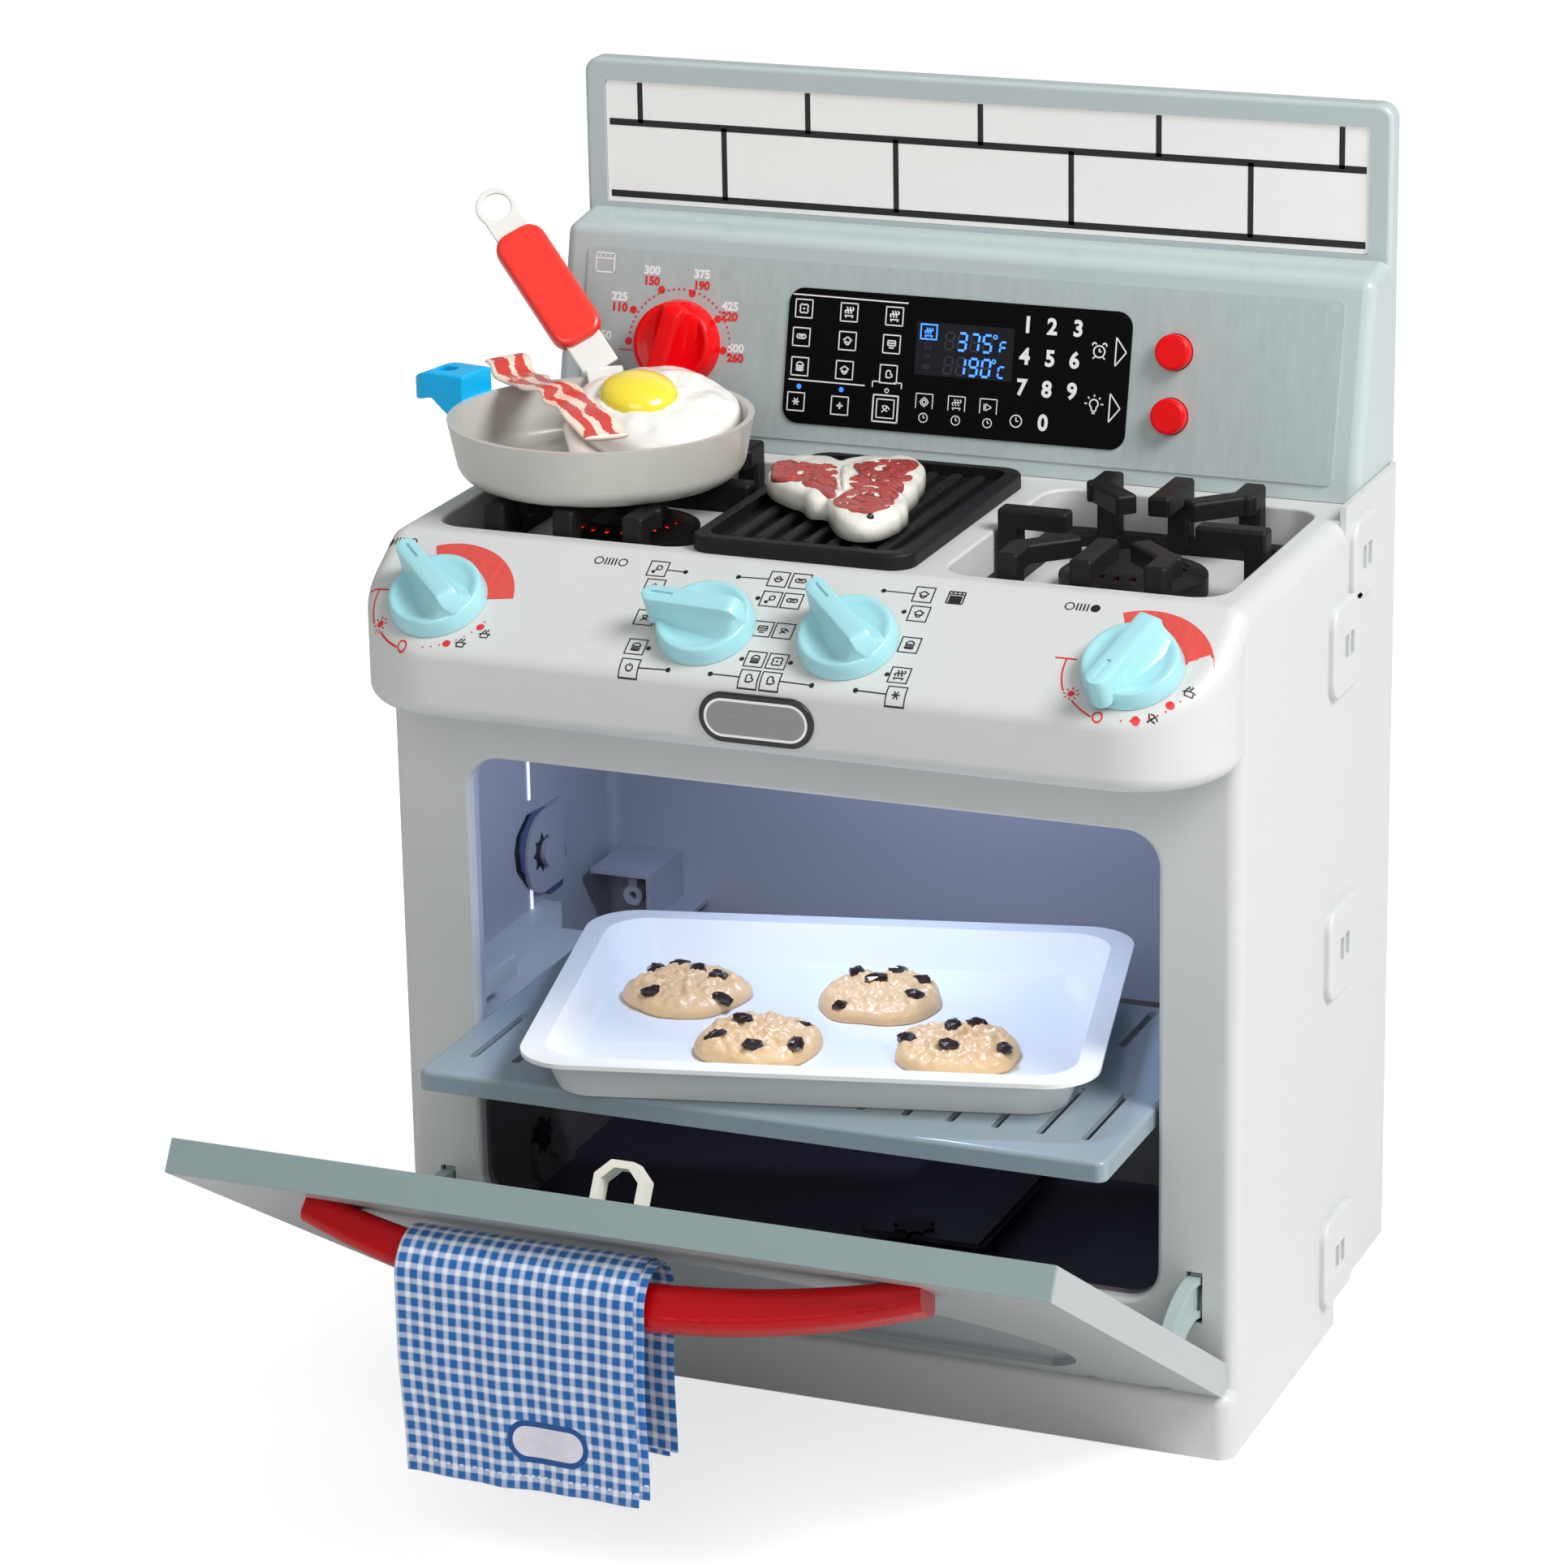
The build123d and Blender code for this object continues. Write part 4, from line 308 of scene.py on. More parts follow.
# small pictograms in a square from -1 to 1, stroke by stroke: l line, c ring, d disc, a arc
icons = {
    "fan": "d 0 0 .16; a .3 .3 .34 -60 150; a -.3 .3 .34 30 240; a -.3 -.3 .34 120 330; a .3 -.3 .34 -150 60",
    "steam": (
        "a -.45 .1 .22 90 270; a -.45 .5 .22 -90 90; a 0 .1 .22 90 270; a 0 .5 .22 -90 90; a .45 .1 .22 90 "
        "270; a .45 .5 .22 -90 90; l -.7 -.5 .7 -.5; l -.6 -.5 -.45 -.8; l .6 -.5 .45 -.8"),
    "loaf": (
        "a -.4 .1 .3 60 250; a .4 .1 .3 -70 120; l -.3 .35 .3 .35; l -.5 -.2 .5 -.2; l -.2 .3 -.3 0; l .05 .3 "
        "-.05 0; l .3 .3 .2 0"),
    "burger": (
        "a 0 .1 .55 0 180; l -.6 .1 .6 .1; l -.6 -.15 .6 -.15; l -.6 -.4 .6 -.4; l -.6 -.4 -.45 -.6; l .6 -.4 "
        ".45 -.6; l -.45 -.6 .45 -.6"),
    "cover": (
        "l -.7 .1 0 .6; l 0 .6 .7 .1; l -.4 -.2 -.4 .1; l .4 -.2 .4 .1; a 0 -.25 .3 180 360; l -.55 -.2 .55 "
        "-.2"),
    "racks": (
        "l -.6 .5 .6 .5; l -.6 .15 .6 .15; l -.6 -.2 .6 -.2; l -.4 -.55 .4 -.55; l -.6 .5 -.6 -.2; l .6 .5 "
        ".6 -.2"),
    "mitt": (
        "a 0 .2 .35 0 180; l -.35 .2 -.35 -.5; l .35 .2 .35 -.1; l -.35 -.5 .3 -.5; a .42 -.2 .18 -90 120; l "
        ".3 -.5 .3 -.35"),
    "drum": "c .15 .2 .36; l -.1 -.1 -.5 -.5; c -.55 -.5 .12; c -.45 -.6 .1",
    "bowl": "l -.65 .05 .65 .05; a 0 .05 .5 180 360; d -.25 .3 .14; d .2 .32 .14; d 0 .5 .12",
    "leaf": "a -.1 -.35 .75 20 100; a .35 .45 .75 180 270; l -.5 -.5 .3 .2",
    "power": "a 0 -.05 .45 115 425; l 0 .1 0 .6",
    "snow": "l -.55 0 .55 0; l -.3 -.5 .3 .5; l .3 -.5 -.3 .5; d 0 0 .13",
    "spark": (
        "l -.5 0 0 .12; l 0 .12 .5 0; l -.5 0 0 -.12; l 0 -.12 .5 0; l 0 -.5 .12 0; l 0 .5 .12 0; l 0 .5 -.12 "
        "0; l 0 -.5 -.12 0"),
    "clock": "c 0 0 .7; l 0 0 0 .45; l 0 0 .3 0",
    "alarm": (
        "c 0 -.1 .55; l 0 -.1 0 .2; l 0 -.1 .22 -.1; a -.5 .5 .2 20 200; a .5 .5 .2 -20 160; l -.4 -.6 -.6 "
        "-.8; l .4 -.6 .6 -.8"),
    "bulb": (
        "a 0 .1 .4 -50 230; l -.25 -.2 -.2 -.55; l .25 -.2 .2 -.55; l -.2 -.55 .2 -.55; l -.9 .1 -.65 .1; l "
        ".65 .1 .9 .1; l 0 .75 0 .95; l -.6 .7 -.45 .55; l .6 .7 .45 .55; l -.15 -.75 .15 -.75"),
    "oven": (
        "l -.9 .85 .9 .85; l -.9 .5 .9 .5; l -.9 .85 -.9 -.8; l .9 .85 .9 -.8; l -.9 -.8 .9 -.8; d -.5 .67 "
        ".1; d 0 .67 .1; d .5 .67 .1"),
    "pot": (
        "l -.6 .2 .6 .2; l -.45 .2 -.45 -.4; l .45 .2 .45 -.4; l -.45 -.4 .45 -.4; l -.75 .1 -.45 .1; l .45 "
        ".1 .75 .1; a -.2 .45 .12 90 270; a -.2 .7 .12 -90 90; a .2 .45 .12 90 270; a .2 .7 .12 -90 90"),
    "play": "l -.4 .5 .5 0; l .5 0 -.4 -.5; l -.4 -.5 -.4 .5; l -.65 .5 -.65 -.5",
    "gear": "c 0 0 .3; c 0 0 .55; l .5 0 .75 0; l -.5 0 -.75 0; l 0 .5 0 .75; l 0 -.5 0 -.75",
}


def inkIcon(ink, kind, u, v, half, width):
    for stroke in icons[kind].split(";"):
        shape, *numbers = stroke.split()
        values = [float(number) for number in numbers]
        x, y = u + values[0] * half, v + values[1] * half
        if shape == "l":
            inkLine(ink, x, y, u + values[2] * half, v + values[3] * half, width)
        elif shape == "d":
            inkDisc(ink, x, y, values[2] * half, 10)
        else:
            inkArc(ink, x, y, values[2] * half, width, *values[3:])


def surfaceOf(obj):
    world = obj.matrix_world
    verts = [world @ vert.co for vert in obj.data.vertices]
    return BVHTree.FromPolygons(verts, [tuple(face.vertices) for face in obj.data.polygons])


def layInk(name, ink, place, surface, mat, body, lift=0.12):
    # drops each printed point along the face's normal onto the real surface
    verts = []
    for u, v in ink["verts"]:
        spot = place["origin"] + place["right"] * u + place["up"] * v
        hit = surface.ray_cast((spot + place["out"] * 25) * mm, -place["out"], 0.06)
        base = hit[0] / mm if hit[0] is not None else spot
        facing = hit[1] if hit[0] is not None and hit[1].dot(place["out"]) > 0.3 else place["out"]
        verts.append(base + facing * lift)
    return makePiece(name, verts, ink["faces"], mat, body, smooth=False)


inkBlack = plastic("inkBlack", (26, 25, 26), rough=0.45, shade=0.8, cloud=200, bump=0.0)
inkRed = plastic("inkRed", (222, 44, 44), rough=0.4, shade=0.86, cloud=200, bump=0.0)
inkWhite = plastic("inkWhite", (240, 241, 240), rough=0.42, shade=0.95, cloud=200, bump=0.0)
inkBlue = glow("inkBlue", (50, 120, 255), 1.2, base=(40, 110, 235))
inkBrushed = plastic("inkBrushed", (236, 88, 80), rough=0.3, shade=0.6, cloud=26, streak=(30, 3, 3), bump=0.0)

# ---- knobs and dial ----
# one turned cup with dished pockets, one lofted pointer bar with a recessed mark
knobPlaces = (("knob_1", -173.0, 139), ("knob_2", -35.5, 177), ("knob_3", 35.5, 138), ("knob_4", 173.0, 251))
knobLooks = {
    name: dict(place=fasciaPlace, spot=(u, -44.0), turn=turn, radius=24.0, cup=9.0, top=20.3, reach=28.0, mat="knobBlue")
    for name, u, turn in knobPlaces
}
knobLooks["dial"] = dict(
    place=consolePlace, spot=(-146.0, 51.0), turn=256, radius=22.4, cup=12.0, top=23.3, reach=22.3, mat="signalRed")
barLook = {"half": 5.1, "tip": 28.0, "far": -22.4, "slope": -15.5,
           "mark": (12.5, 24.0), "markHalf": 1.3, "markDeep": 0.9, "edge": 1.3}
# rows of the cup from the middle to the skirt: distance in from the radius, distance below the top
cupRows = ((9.0, 1.8), (7.0, 1.3), (5.6, 0.6), (4.4, 0.12), (3.8, 0), (2.5, 0), (1.9, 0.35), (1.5, 1.0))


def barSection(x, cup, top):
    # half width, flank spread, top height and foot height of the bar at x
    half = barLook["half"]
    if x > 23.5:
        half *= math.sqrt(max(0.0004, 1 - ((x - 23.5) / (barLook["tip"] - 23.5)) ** 2))
    share = (x - barLook["tip"]) / (barLook["far"] - barLook["tip"])
    spread = 1.0 + 11.5 * share ** 1.2 if x < 21 else half / barLook["half"]
    crest = top
    if x < barLook["slope"]:
        t = (barLook["slope"] - x) / (barLook["slope"] - barLook["far"])
        crest = cup - 1.0 + (top - cup + 1.0) * math.sqrt(max(0.0, 1 - t ** 2.4))
    foot = cup - 2.6 if x < 20 else cup - 2.6 - (x - 20) * 0.35
    return half, spread, crest, foot


def knobMesh(name, look):
    radius, cup, top = look["radius"], look["cup"], look["top"]
    verts = []
    faces = []
    profile = [(0.001, cup - 1.9)] + [(radius - inward, cup - drop) for inward, drop in cupRows]
    profile += [(radius, 1.0), (radius, 0.35), (radius - 1.5, 0.3), (0.001, 0.3)]
    spokes = 72
    for reach, z in profile:
        for spoke in range(spokes):
            angle = 2 * math.pi * spoke / spokes
            verts.append((reach * math.cos(angle), reach * math.sin(angle), z))
    for row in range(len(profile) - 1):
        for spoke in range(spokes):
            a = row * spokes + spoke
            b = row * spokes + (spoke + 1) % spokes
            faces.append((a, a + spokes, b + spokes, b))
    runs = [barLook["far"] + 1.5 * step for step in range(23)]
    markLow, markHigh = barLook["mark"]
    runs += [markLow - 0.01, markLow + 0.25, 14, 17, 20, 22.5, markHigh - 0.25, markHigh + 0.01]
    runs += [25.2, 26.2, 27.0, 27.5, 27.8, 27.95, 28.0]
    start = len(verts)
    for x in sorted(set(round(run, 3) for run in runs)):
        half, spread, crest, foot = barSection(x, cup, top)
        edge = min(barLook["edge"], half * 0.5)
        side = [(half + spread * (1 - t / 8) ** 1.6, foot + (crest - edge - foot) * (t / 8) ** 1.35) for t in range(8)]
        side += [(half, crest - edge), (half - edge * 0.3, crest - edge * 0.3), (half - edge, crest)]
        markHalf = min(barLook["markHalf"], half * 0.4)
        deep = barLook["markDeep"] if markLow < x < markHigh else 0.0
        side += [(markHalf, crest), (markHalf * 0.86, crest - deep)]
        # the flanks stay inside the cup
        widest = math.sqrt(max(0.04, (radius - 2.6) ** 2 - x * x)) if x < radius - 5 else 99.0
        side = [(min(y, max(widest, 0.3)), z) for y, z in side]
        x = min(x, look["reach"])
        line = [(x, -y, z) for y, z in side] + [(x, y, z) for y, z in reversed(side)]
        width = len(line)
        verts += line
    count = (len(verts) - start) // width
    for row in range(count - 1):
        for column in range(width - 1):
            a = start + row * width + column
            faces.append((a, a + 1, a + width + 1, a + width))
    faces.append(tuple(start + (count - 1) * width + column for column in range(width)))
    faces.append(tuple(start + column for column in reversed(range(width))))
    place = look["place"]
    turn = math.radians(look["turn"])
    ahead = place["right"] * math.cos(turn) + place["up"] * math.sin(turn)
    across = place["out"].cross(ahead)
    middle = place["origin"] + place["right"] * look["spot"][0] + place["up"] * look["spot"][1]
    spots = [middle + ahead * x + across * y + place["out"] * z for x, y, z in verts]
    obj = makePiece(name + "Form", spots, faces, finishMats[look["mat"]], name)
    sharp = obj.modifiers.new("creases", "EDGE_SPLIT")
    sharp.split_angle = math.radians(38)
    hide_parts(name)


for knobName, look in knobLooks.items():
    knobMesh(knobName, look)
print("stage: knobs")

# ---- fascia prints ----
fascia = {
    "line": 0.62,
    "square": 4.6,
    "dot": 1.25,
    "squares": [
        ("drum", -71.6, -10.8), ("bowl", -69.7, -22.1), ("leaf", -67.3, -41.6), ("burger", -65.3, -59.9),
        ("power", -64.6, -72.1), ("bowl", -10.7, -10.0), ("loaf", 0.3, -10.0), ("drum", -10.4, -22.6),
        ("loaf", 0.2, -22.6), ("racks", -8.2, -41.3), ("leaf", 2.4, -41.3), ("burger", -5.4, -60.0),
        ("fan", 5.5, -60.0), ("mitt", -4.9, -71.4), ("mitt", 5.8, -71.4), ("cover", 61.9, -10.8),
        ("cover", 63.2, -22.7), ("burger", 64.9, -42.0), ("steam", 65.9, -60.6), ("snow", 67.7, -72.2),
    ],
    "leads": [
        ((-67.0, -11.0), (-57.4, -11.2)), ((-60.0, -72.1), (-45.1, -71.6)), ((-30.6, -11.0), (-15.4, -10.4)),
        ((-24.0, -71.3), (-9.7, -71.3)), ((10.6, -71.4), (26.4, -71.8)), ((42.1, -10.7), (57.2, -10.8)),
        ((48.0, -71.9), (63.0, -72.2)),
    ],
    "dots": [
        (-57.4, -11.2), (-59.0, -60.1), (-45.1, -71.6), (-30.6, -11.0), (-16.8, -22.8), (-11.9, -60.6),
        (12.1, -60.0), (-24.0, -71.3), (26.4, -71.8), (42.1, -10.7), (55.8, -22.3), (59.9, -60.8), (48.0, -71.9),
    ],
}
hobSurface = surfaceOf(nodes["hob_top"])
black = newInk()
for kind, u, v in fascia["squares"]:
    inkFrame(black, u, v, fascia["square"], fascia["square"], fascia["line"])
    inkIcon(black, kind, u, v, fascia["square"] * 0.8, fascia["line"] * 1.1)
for start, end in fascia["leads"]:
    inkLine(black, *start, *end, fascia["line"])
for u, v in fascia["dots"]:
    inkDisc(black, u, v, fascia["dot"], 12)
inkIcon(black, "oven", 77.7, -10.9, 4.4, 0.7)
inkPoly(black, [(74.6, -14.0), (80.8, -14.0), (80.8, -9.6), (74.6, -9.6)])
for u, filled in ((-96.4, (0, 0)), (138.8, (0, 1)), (-206.5, (1, 0))):
    for side in (-1, 1):
        if filled[(side + 1) // 2]:
            inkDisc(black, u + side * 6.2, -9.0, 2.3)
        else:
            inkArc(black, u + side * 6.2, -9.0, 2.1, fascia["line"])
    for index in range(4):
        inkLine(black, u - 2.6 + index * 1.7, -11.2, u - 2.6 + index * 1.7, -6.8, 0.75)

# scale by each outer knob: sector, arc, sun, ring, dots and pots
hobScale = {"reach": 37.0, "sector": (9.0, 27),
            "left marks": (("pot", 14.0, -69.8, 21.0, -69.3), ("pot", 27.0, -57.8, 30.8, -62.4)),
            "right marks": (("leaf", 9.0, -71.6, 15.9, -69.0), ("pot", 22.4, -61.2, 28.9, -53.0))}
red = newInk()
sectors = newInk()
for middle in (-173.0, 173.0):
    turns = [math.radians(hobScale["sector"][0] + step * 4.0) for step in range(hobScale["sector"][1])]
    reach = hobScale["reach"]
    sector = [(middle + reach * math.cos(turn), -44 + reach * math.sin(turn)) for turn in turns]
    for first, second in zip(sector, sector[1:]):
        inner = [(middle + (x - middle) * 0.6, -44 + (y + 44) * 0.6) for x, y in (second, first)]
        inkPoly(sectors, [first, second] + inner)
    inkLine(red, middle - 38, -40.5, middle - 27.5, -40.5, 0.9)
    inkArc(red, middle, -44, 32.5, 0.8, 174.0, 209.0, 12)
    inkArc(red, middle, -44, 31.0, 0.8, 222.0, 248.0, 10)
    inkDisc(red, middle - 24.3, -61.0, 1.7, 14)
    for spoke in range(8):
        angle = math.pi * spoke / 4
        inkLine(red, middle - 24.3 + 2.4 * math.cos(angle), -61 + 2.4 * math.sin(angle),
                middle - 24.3 + 3.9 * math.cos(angle), -61 + 3.9 * math.sin(angle), 0.65)
    inkArc(red, middle - 8.6, -72.5, 2.2, 0.8)
    for angle in range(275, 345, 8):
        a = math.radians(angle)
        inkDisc(red, middle + 30.0 * math.cos(a), -44 + 29.0 * math.sin(a), 0.45, 8)
    for kind, x, y, iconX, iconY in hobScale["left marks" if middle < 0 else "right marks"]:
        inkDisc(red, middle + x, y, 2.0, 14)
        inkIcon(black, kind, middle + iconX, iconY, 4.0, 0.65)
layInk("fasciaPrintBlack", black, fasciaPlace, hobSurface, inkBlack, "body")
layInk("fasciaPrintRed", red, fasciaPlace, hobSurface, inkRed, "body", lift=0.14)
layInk("fasciaSectors", sectors, fasciaPlace, hobSurface, inkBrushed, "body", lift=0.1)
print("stage: fascia prints")

# ---- badge inlay, left blank ----
badgeLook = {"length": 57.0, "height": 24.0, "inset": 3.4, "line": 1.3}
inlay = newInk()
ringHalf = badgeLook["height"] / 2 - badgeLook["inset"]
straight = badgeLook["length"] / 2 - badgeLook["height"] / 2
for side, start in ((1, -90), (-1, 90)):
    inkArc(inlay, side * straight, 0, ringHalf, badgeLook["line"], start, start + 180, 24)
    inkLine(inlay, -straight, side * ringHalf, straight, side * ringHalf, badgeLook["line"])
field = newInk()
stadium = [(side * (straight + ringHalf * math.cos(math.radians(turn))), side * ringHalf * math.sin(math.radians(turn)))
           for side in (1, -1) for turn in range(-90, 91, 10)]
inkPoly(field, stadium)
brushed = plastic("badgeField", (150, 150, 152), rough=0.3, shade=0.72, cloud=60, streak=(0.4, 1, 12), bump=0.02)
layInk("badgeField", field, badgePlace, surfaceOf(nodes["badge"]), brushed, "body", lift=0.08)
layInk("badgeRing", inlay, badgePlace, surfaceOf(nodes["badge"]), inkWhite, "body")

# ---- tiles ----
tiles = {"left": -201.0, "right": 201.0, "high": 590.8, "rows": (532.5, 569.5), "line": 3.5,
         "upper": (-182.4, -90.8, 1.3, 94.1, 187.1), "lower": (-136.6, -43.8, 48.8, 141.2)}
grout = newInk()
for row in tiles["rows"]:
    inkLine(grout, tiles["left"] + 1.5, row, tiles["right"] - 1.5, row, tiles["line"])
for u in tiles["upper"]:
    inkLine(grout, u, tiles["rows"][1], u, tiles["high"] - 0.6, tiles["line"] - 0.6)
for u in tiles["lower"]:
    inkLine(grout, u, tiles["rows"][0], u, tiles["rows"][1], tiles["line"] - 0.6)
layInk("tileGrout", grout, tilePlace, surfaceOf(nodes["tile_panel"]), inkBlack, "body", lift=0.1)

# ---- console dial scale ----
dial = {
    "middle": (-146.0, 51.0),
    "reach": 27.5,
    "digits": 5.875,
    "arc": (-8, 176),
    "dotStep": 6,
    "outer": [("225", -180.2, 72.4), ("300", -163.3, 86.7), ("375", -135.9, 86.6), ("425", -119.5, 71.6),
              ("500", -115.1, 50.9), ("150", -187.9, 52.4)],
    "inner": [("110", -180.0, 67.1), ("150", -163.2, 81.4), ("190", -135.8, 80.9), ("220", -119.6, 66.5),
              ("260", -115.1, 46.0), ("65", -188.5, 47.0)],
    "stops": [(-172.2, 66.4), (-157.5, 77.5), (-140.6, 76.8), (-125.8, 65.0), (-121.8, 49.5), (-173.8, 50.4)],
}
labelSurface = surfaceOf(nodes["console_label"])
whites = newInk()
reds = newInk()
for ink, marks in ((whites, dial["outer"]), (reds, dial["inner"])):
    for text, u, v in marks:
        inkText(ink, text, u, v, dial["digits"], 0.3)
for u, v in dial["stops"]:
    inkDisc(reds, u, v, 2.0, 14)
for angle in range(*dial["arc"], dial["dotStep"]):
    a = math.radians(angle)
    u, v = [mid + dial["reach"] * turn for mid, turn in zip(dial["middle"], (math.cos(a), math.sin(a)))]
    inkDisc(reds, u, v, 0.65, 8)
inkLine(reds, -179.0, 46.0, -171.0, 46.0, 0.6)
inkFrame(whites, -189.3, 89.1, 5.0, 4.8, 0.8)
inkLine(whites, -194, 91.2, -184.6, 91.2, 0.7)
for u in (-192.0, -189.3, -186.6):
    inkDisc(whites, u, 92.6, 0.5, 8)
layInk("dialScaleWhite", whites, consolePlace, labelSurface, inkWhite, "body")
layInk("dialScaleRed", reds, consolePlace, labelSurface, inkRed, "body")

# ---- display ----
display = {"icon": 4.5, "line": 0.62, "digit": 9.3}
displaySurface = surfaceOf(nodes["display_panel"])
white = newInk()
rows = [
    [("fan", -79.3, 73.7), ("steam", -55.1, 73.5), ("steam", -30.9, 73.3)],
    [("loaf", -79.8, 59.5), ("cover", -55.0, 59.3), ("racks", -31.5, 59.4)],
    [("burger", -79.6, 44.8), ("cover", -55.6, 44.7), ("mitt", -32.1, 44.5)],
    [("snow", -80.5, 27.2), ("spark", -56.9, 26.9)],
]
for row in rows:
    for kind, u, v in row:
        inkFrame(white, u, v, display["icon"], display["icon"], display["line"])
        inkIcon(white, kind, u, v, display["icon"] * 0.75, display["line"] * 1.1)
inkLine(white, -87.0, 80.6, -24.0, 80.2, 0.7)
inkLine(white, -85.2, 38.1, -44.2, 37.9, 0.7)
inkFrame(white, -32.6, 27.3, 6.6, 6.6, 0.8)
inkFrame(white, -32.6, 27.3, 4.6, 4.6, display["line"])
inkIcon(white, "leaf", -32.6, 27.3, 3.7, 0.6)
inkIcon(white, "power", -32.4, 36.4, 2.2, 0.5)
inkLine(white, -40.2, 40.5, -36.0, 40.5, 0.6)
inkLine(white, -29.0, 40.5, -24.8, 40.5, 0.6)
for u in (-40.2, -24.8):
    inkLine(white, u, 40.5, u, 37.6, 0.6)
for kind, u in (("gear", -12.2), ("steam", 4.9), ("play", 21.6)):
    inkLine(white, u - 4.4, 36.3, u + 4.4, 36.3, 0.5)
    inkLine(white, u - 4.4, 36.3, u - 4.4, 29.0, 0.5)
    inkLine(white, u + 4.4, 36.3, u + 4.4, 29.0, 0.5)
    inkIcon(white, kind, u, 32.2, 3.4, 0.5)
    inkIcon(white, "clock", u, 24.4, 3.2, 0.5)
inkIcon(white, "clock", 36.5, 26.6, 4.2, 0.6)
inkIcon(white, "alarm", 77.0, 64.4, 5.2, 0.7)
inkIcon(white, "bulb", 76.2, 37.7, 5.4, 0.7)
for u, v in ((87.9, 64.4), (86.7, 36.9)):
    for a, b in (((-2.4, 7.0), (3.0, 0)), ((3.0, 0), (-2.4, -7.0)), ((-2.4, -7.0), (-2.4, 7.0))):
        inkLine(white, u + a[0], v + a[1], u + b[0], v + b[1], 0.7)
keys = (("1", 39.2, 73.9), ("2", 51.9, 73.8), ("3", 65.4, 73.9), ("4", 38.7, 58.3), ("5", 51.9, 58.2), ("6", 64.5, 58.3),
        ("7", 38.2, 43.1), ("8", 51.3, 43.0), ("9", 64.4, 43.1), ("0", 50.5, 26.5))
for text, u, v in keys:
    inkText(white, text, u, v, display["digit"] * 1.18, 0.4, 0.95)
layInk("displayPrint", white, consolePlace, displaySurface, inkWhite, "body")
blue = newInk()
for u, v in ((-79.3, 34.8), (-56.6, 34.9)):
    inkDisc(blue, u, v, 1.3, 12)
layInk("displayLeds", blue, consolePlace, displaySurface, inkBlue, "body")

# ---- temperature window ----
window = {"left": -18.6, "right": 32.6, "low": 45.6, "high": 71.8, "lean": 0.08}
segments = {"a": (0, 1, 1, 1), "b": (1, 1, 1, 0.5), "c": (1, 0.5, 1, 0), "d": (0, 0, 1, 0),
            "e": (0, 0.5, 0, 0), "f": (0, 1, 0, 0.5), "g": (0, 0.5, 1, 0.5)}
lit = {"0": "abcdef", "1": "bc", "3": "abcdg", "5": "acdfg", "7": "abc", "9": "abcdfg", "8": "abcdefg",
       "F": "aefg", "C": "adef"}


def inkDigit(ink, text, u, v, width, height, stroke):
    for name in lit[text]:
        x0, y0, x1, y1 = segments[name]
        ends = []
        for x, y in ((x0, y0), (x1, y1)):
            ends += [u + (x - 0.5) * width + (y - 0.5) * height * window["lean"], v + (y - 0.5) * height]
        gap = stroke * 0.45
        length = math.hypot(ends[2] - ends[0], ends[3] - ends[1])
        du = (ends[2] - ends[0]) / length * gap
        dv = (ends[3] - ends[1]) / length * gap
        inkLine(ink, ends[0] + du, ends[1] + dv, ends[2] - du, ends[3] - dv, stroke)


glass = newInk()
inkPoly(glass, [(window["left"], window["low"]), (window["right"], window["low"]), (window["right"], window["high"]),
                (window["left"], window["high"])])
dim = newInk()
bright = newInk()
for line, v in (("375", 63.3), ("190", 51.2)):
    for index, text in enumerate(line):
        u = 5.6 + index * 6.6
        inkDigit(dim, "8", u, v, 4.2, 8.4, 1.0)
        inkDigit(bright, text, u, v, 4.2, 8.4, 1.15)
    inkDigit(dim, "8", -1.0, v, 4.2, 8.4, 1.0)
    inkArc(bright, 22.8, v + 3.6, 0.9, 0.6)
inkDigit(bright, "F", 27.2, 62.0, 3.2, 5.4, 0.9)
inkDigit(bright, "C", 27.0, 49.8, 3.2, 5.4, 0.9)
inkFrame(bright, -12.2, 67.0, 4.2, 3.6, 0.7)
inkIcon(bright, "steam", -12.2, 66.6, 3.0, 0.6)
for kind, v in (("fan", 60.2), ("leaf", 55.0), ("loaf", 49.6)):
    inkIcon(dim, kind, -12.4, v, 2.6, 0.5)
lcdGlass = plastic("lcdGlass", (14, 15, 24), rough=0.12, shade=0.8, bump=0.0)
lcdDim = plastic("lcdDim", (40, 42, 54), rough=0.4, shade=0.9, bump=0.0)
lcdBright = glow("lcdBright", (60, 130, 255), 1.7, base=(60, 120, 255))
layInk("lcdGlassSheet", glass, consolePlace, displaySurface, lcdGlass, "body", lift=0.04)
layInk("lcdDimSegments", dim, consolePlace, displaySurface, lcdDim, "body", lift=0.07)
layInk("lcdLitSegments", bright, consolePlace, displaySurface, lcdBright, "body", lift=0.1)
print("stage: console, tiles and display")


# ---- mounds: cookies, steak, egg ----
def smoothRim(points):
    # periodic smooth radius through (angle, radius) points
    points = sorted(points)

    def radius(angle):
        angle %= 360
        count = len(points)
        for index in range(count):
            a, r1 = points[index]
            b, r2 = points[(index + 1) % count]
            span = (b - a) % 360
            ahead = (angle - a) % 360
            if ahead <= span:
                t = ahead / span
                r0 = points[index - 1][1]
                r3 = points[(index + 2) % count][1]
                square = 2 * r0 - 5 * r1 + 4 * r2 - r3
                cube = 3 * r1 - r0 - 3 * r2 + r3
                return 0.5 * (2 * r1 + (r2 - r0) * t + square * t * t + cube * t ** 3)
        return points[0][1]
    return radius


def rimOf(outline, middle):
    offsets = [(x - middle[0], y - middle[1]) for x, y in outline]
    return smoothRim([(math.degrees(math.atan2(y, x)) % 360, math.hypot(x, y)) for x, y in offsets])


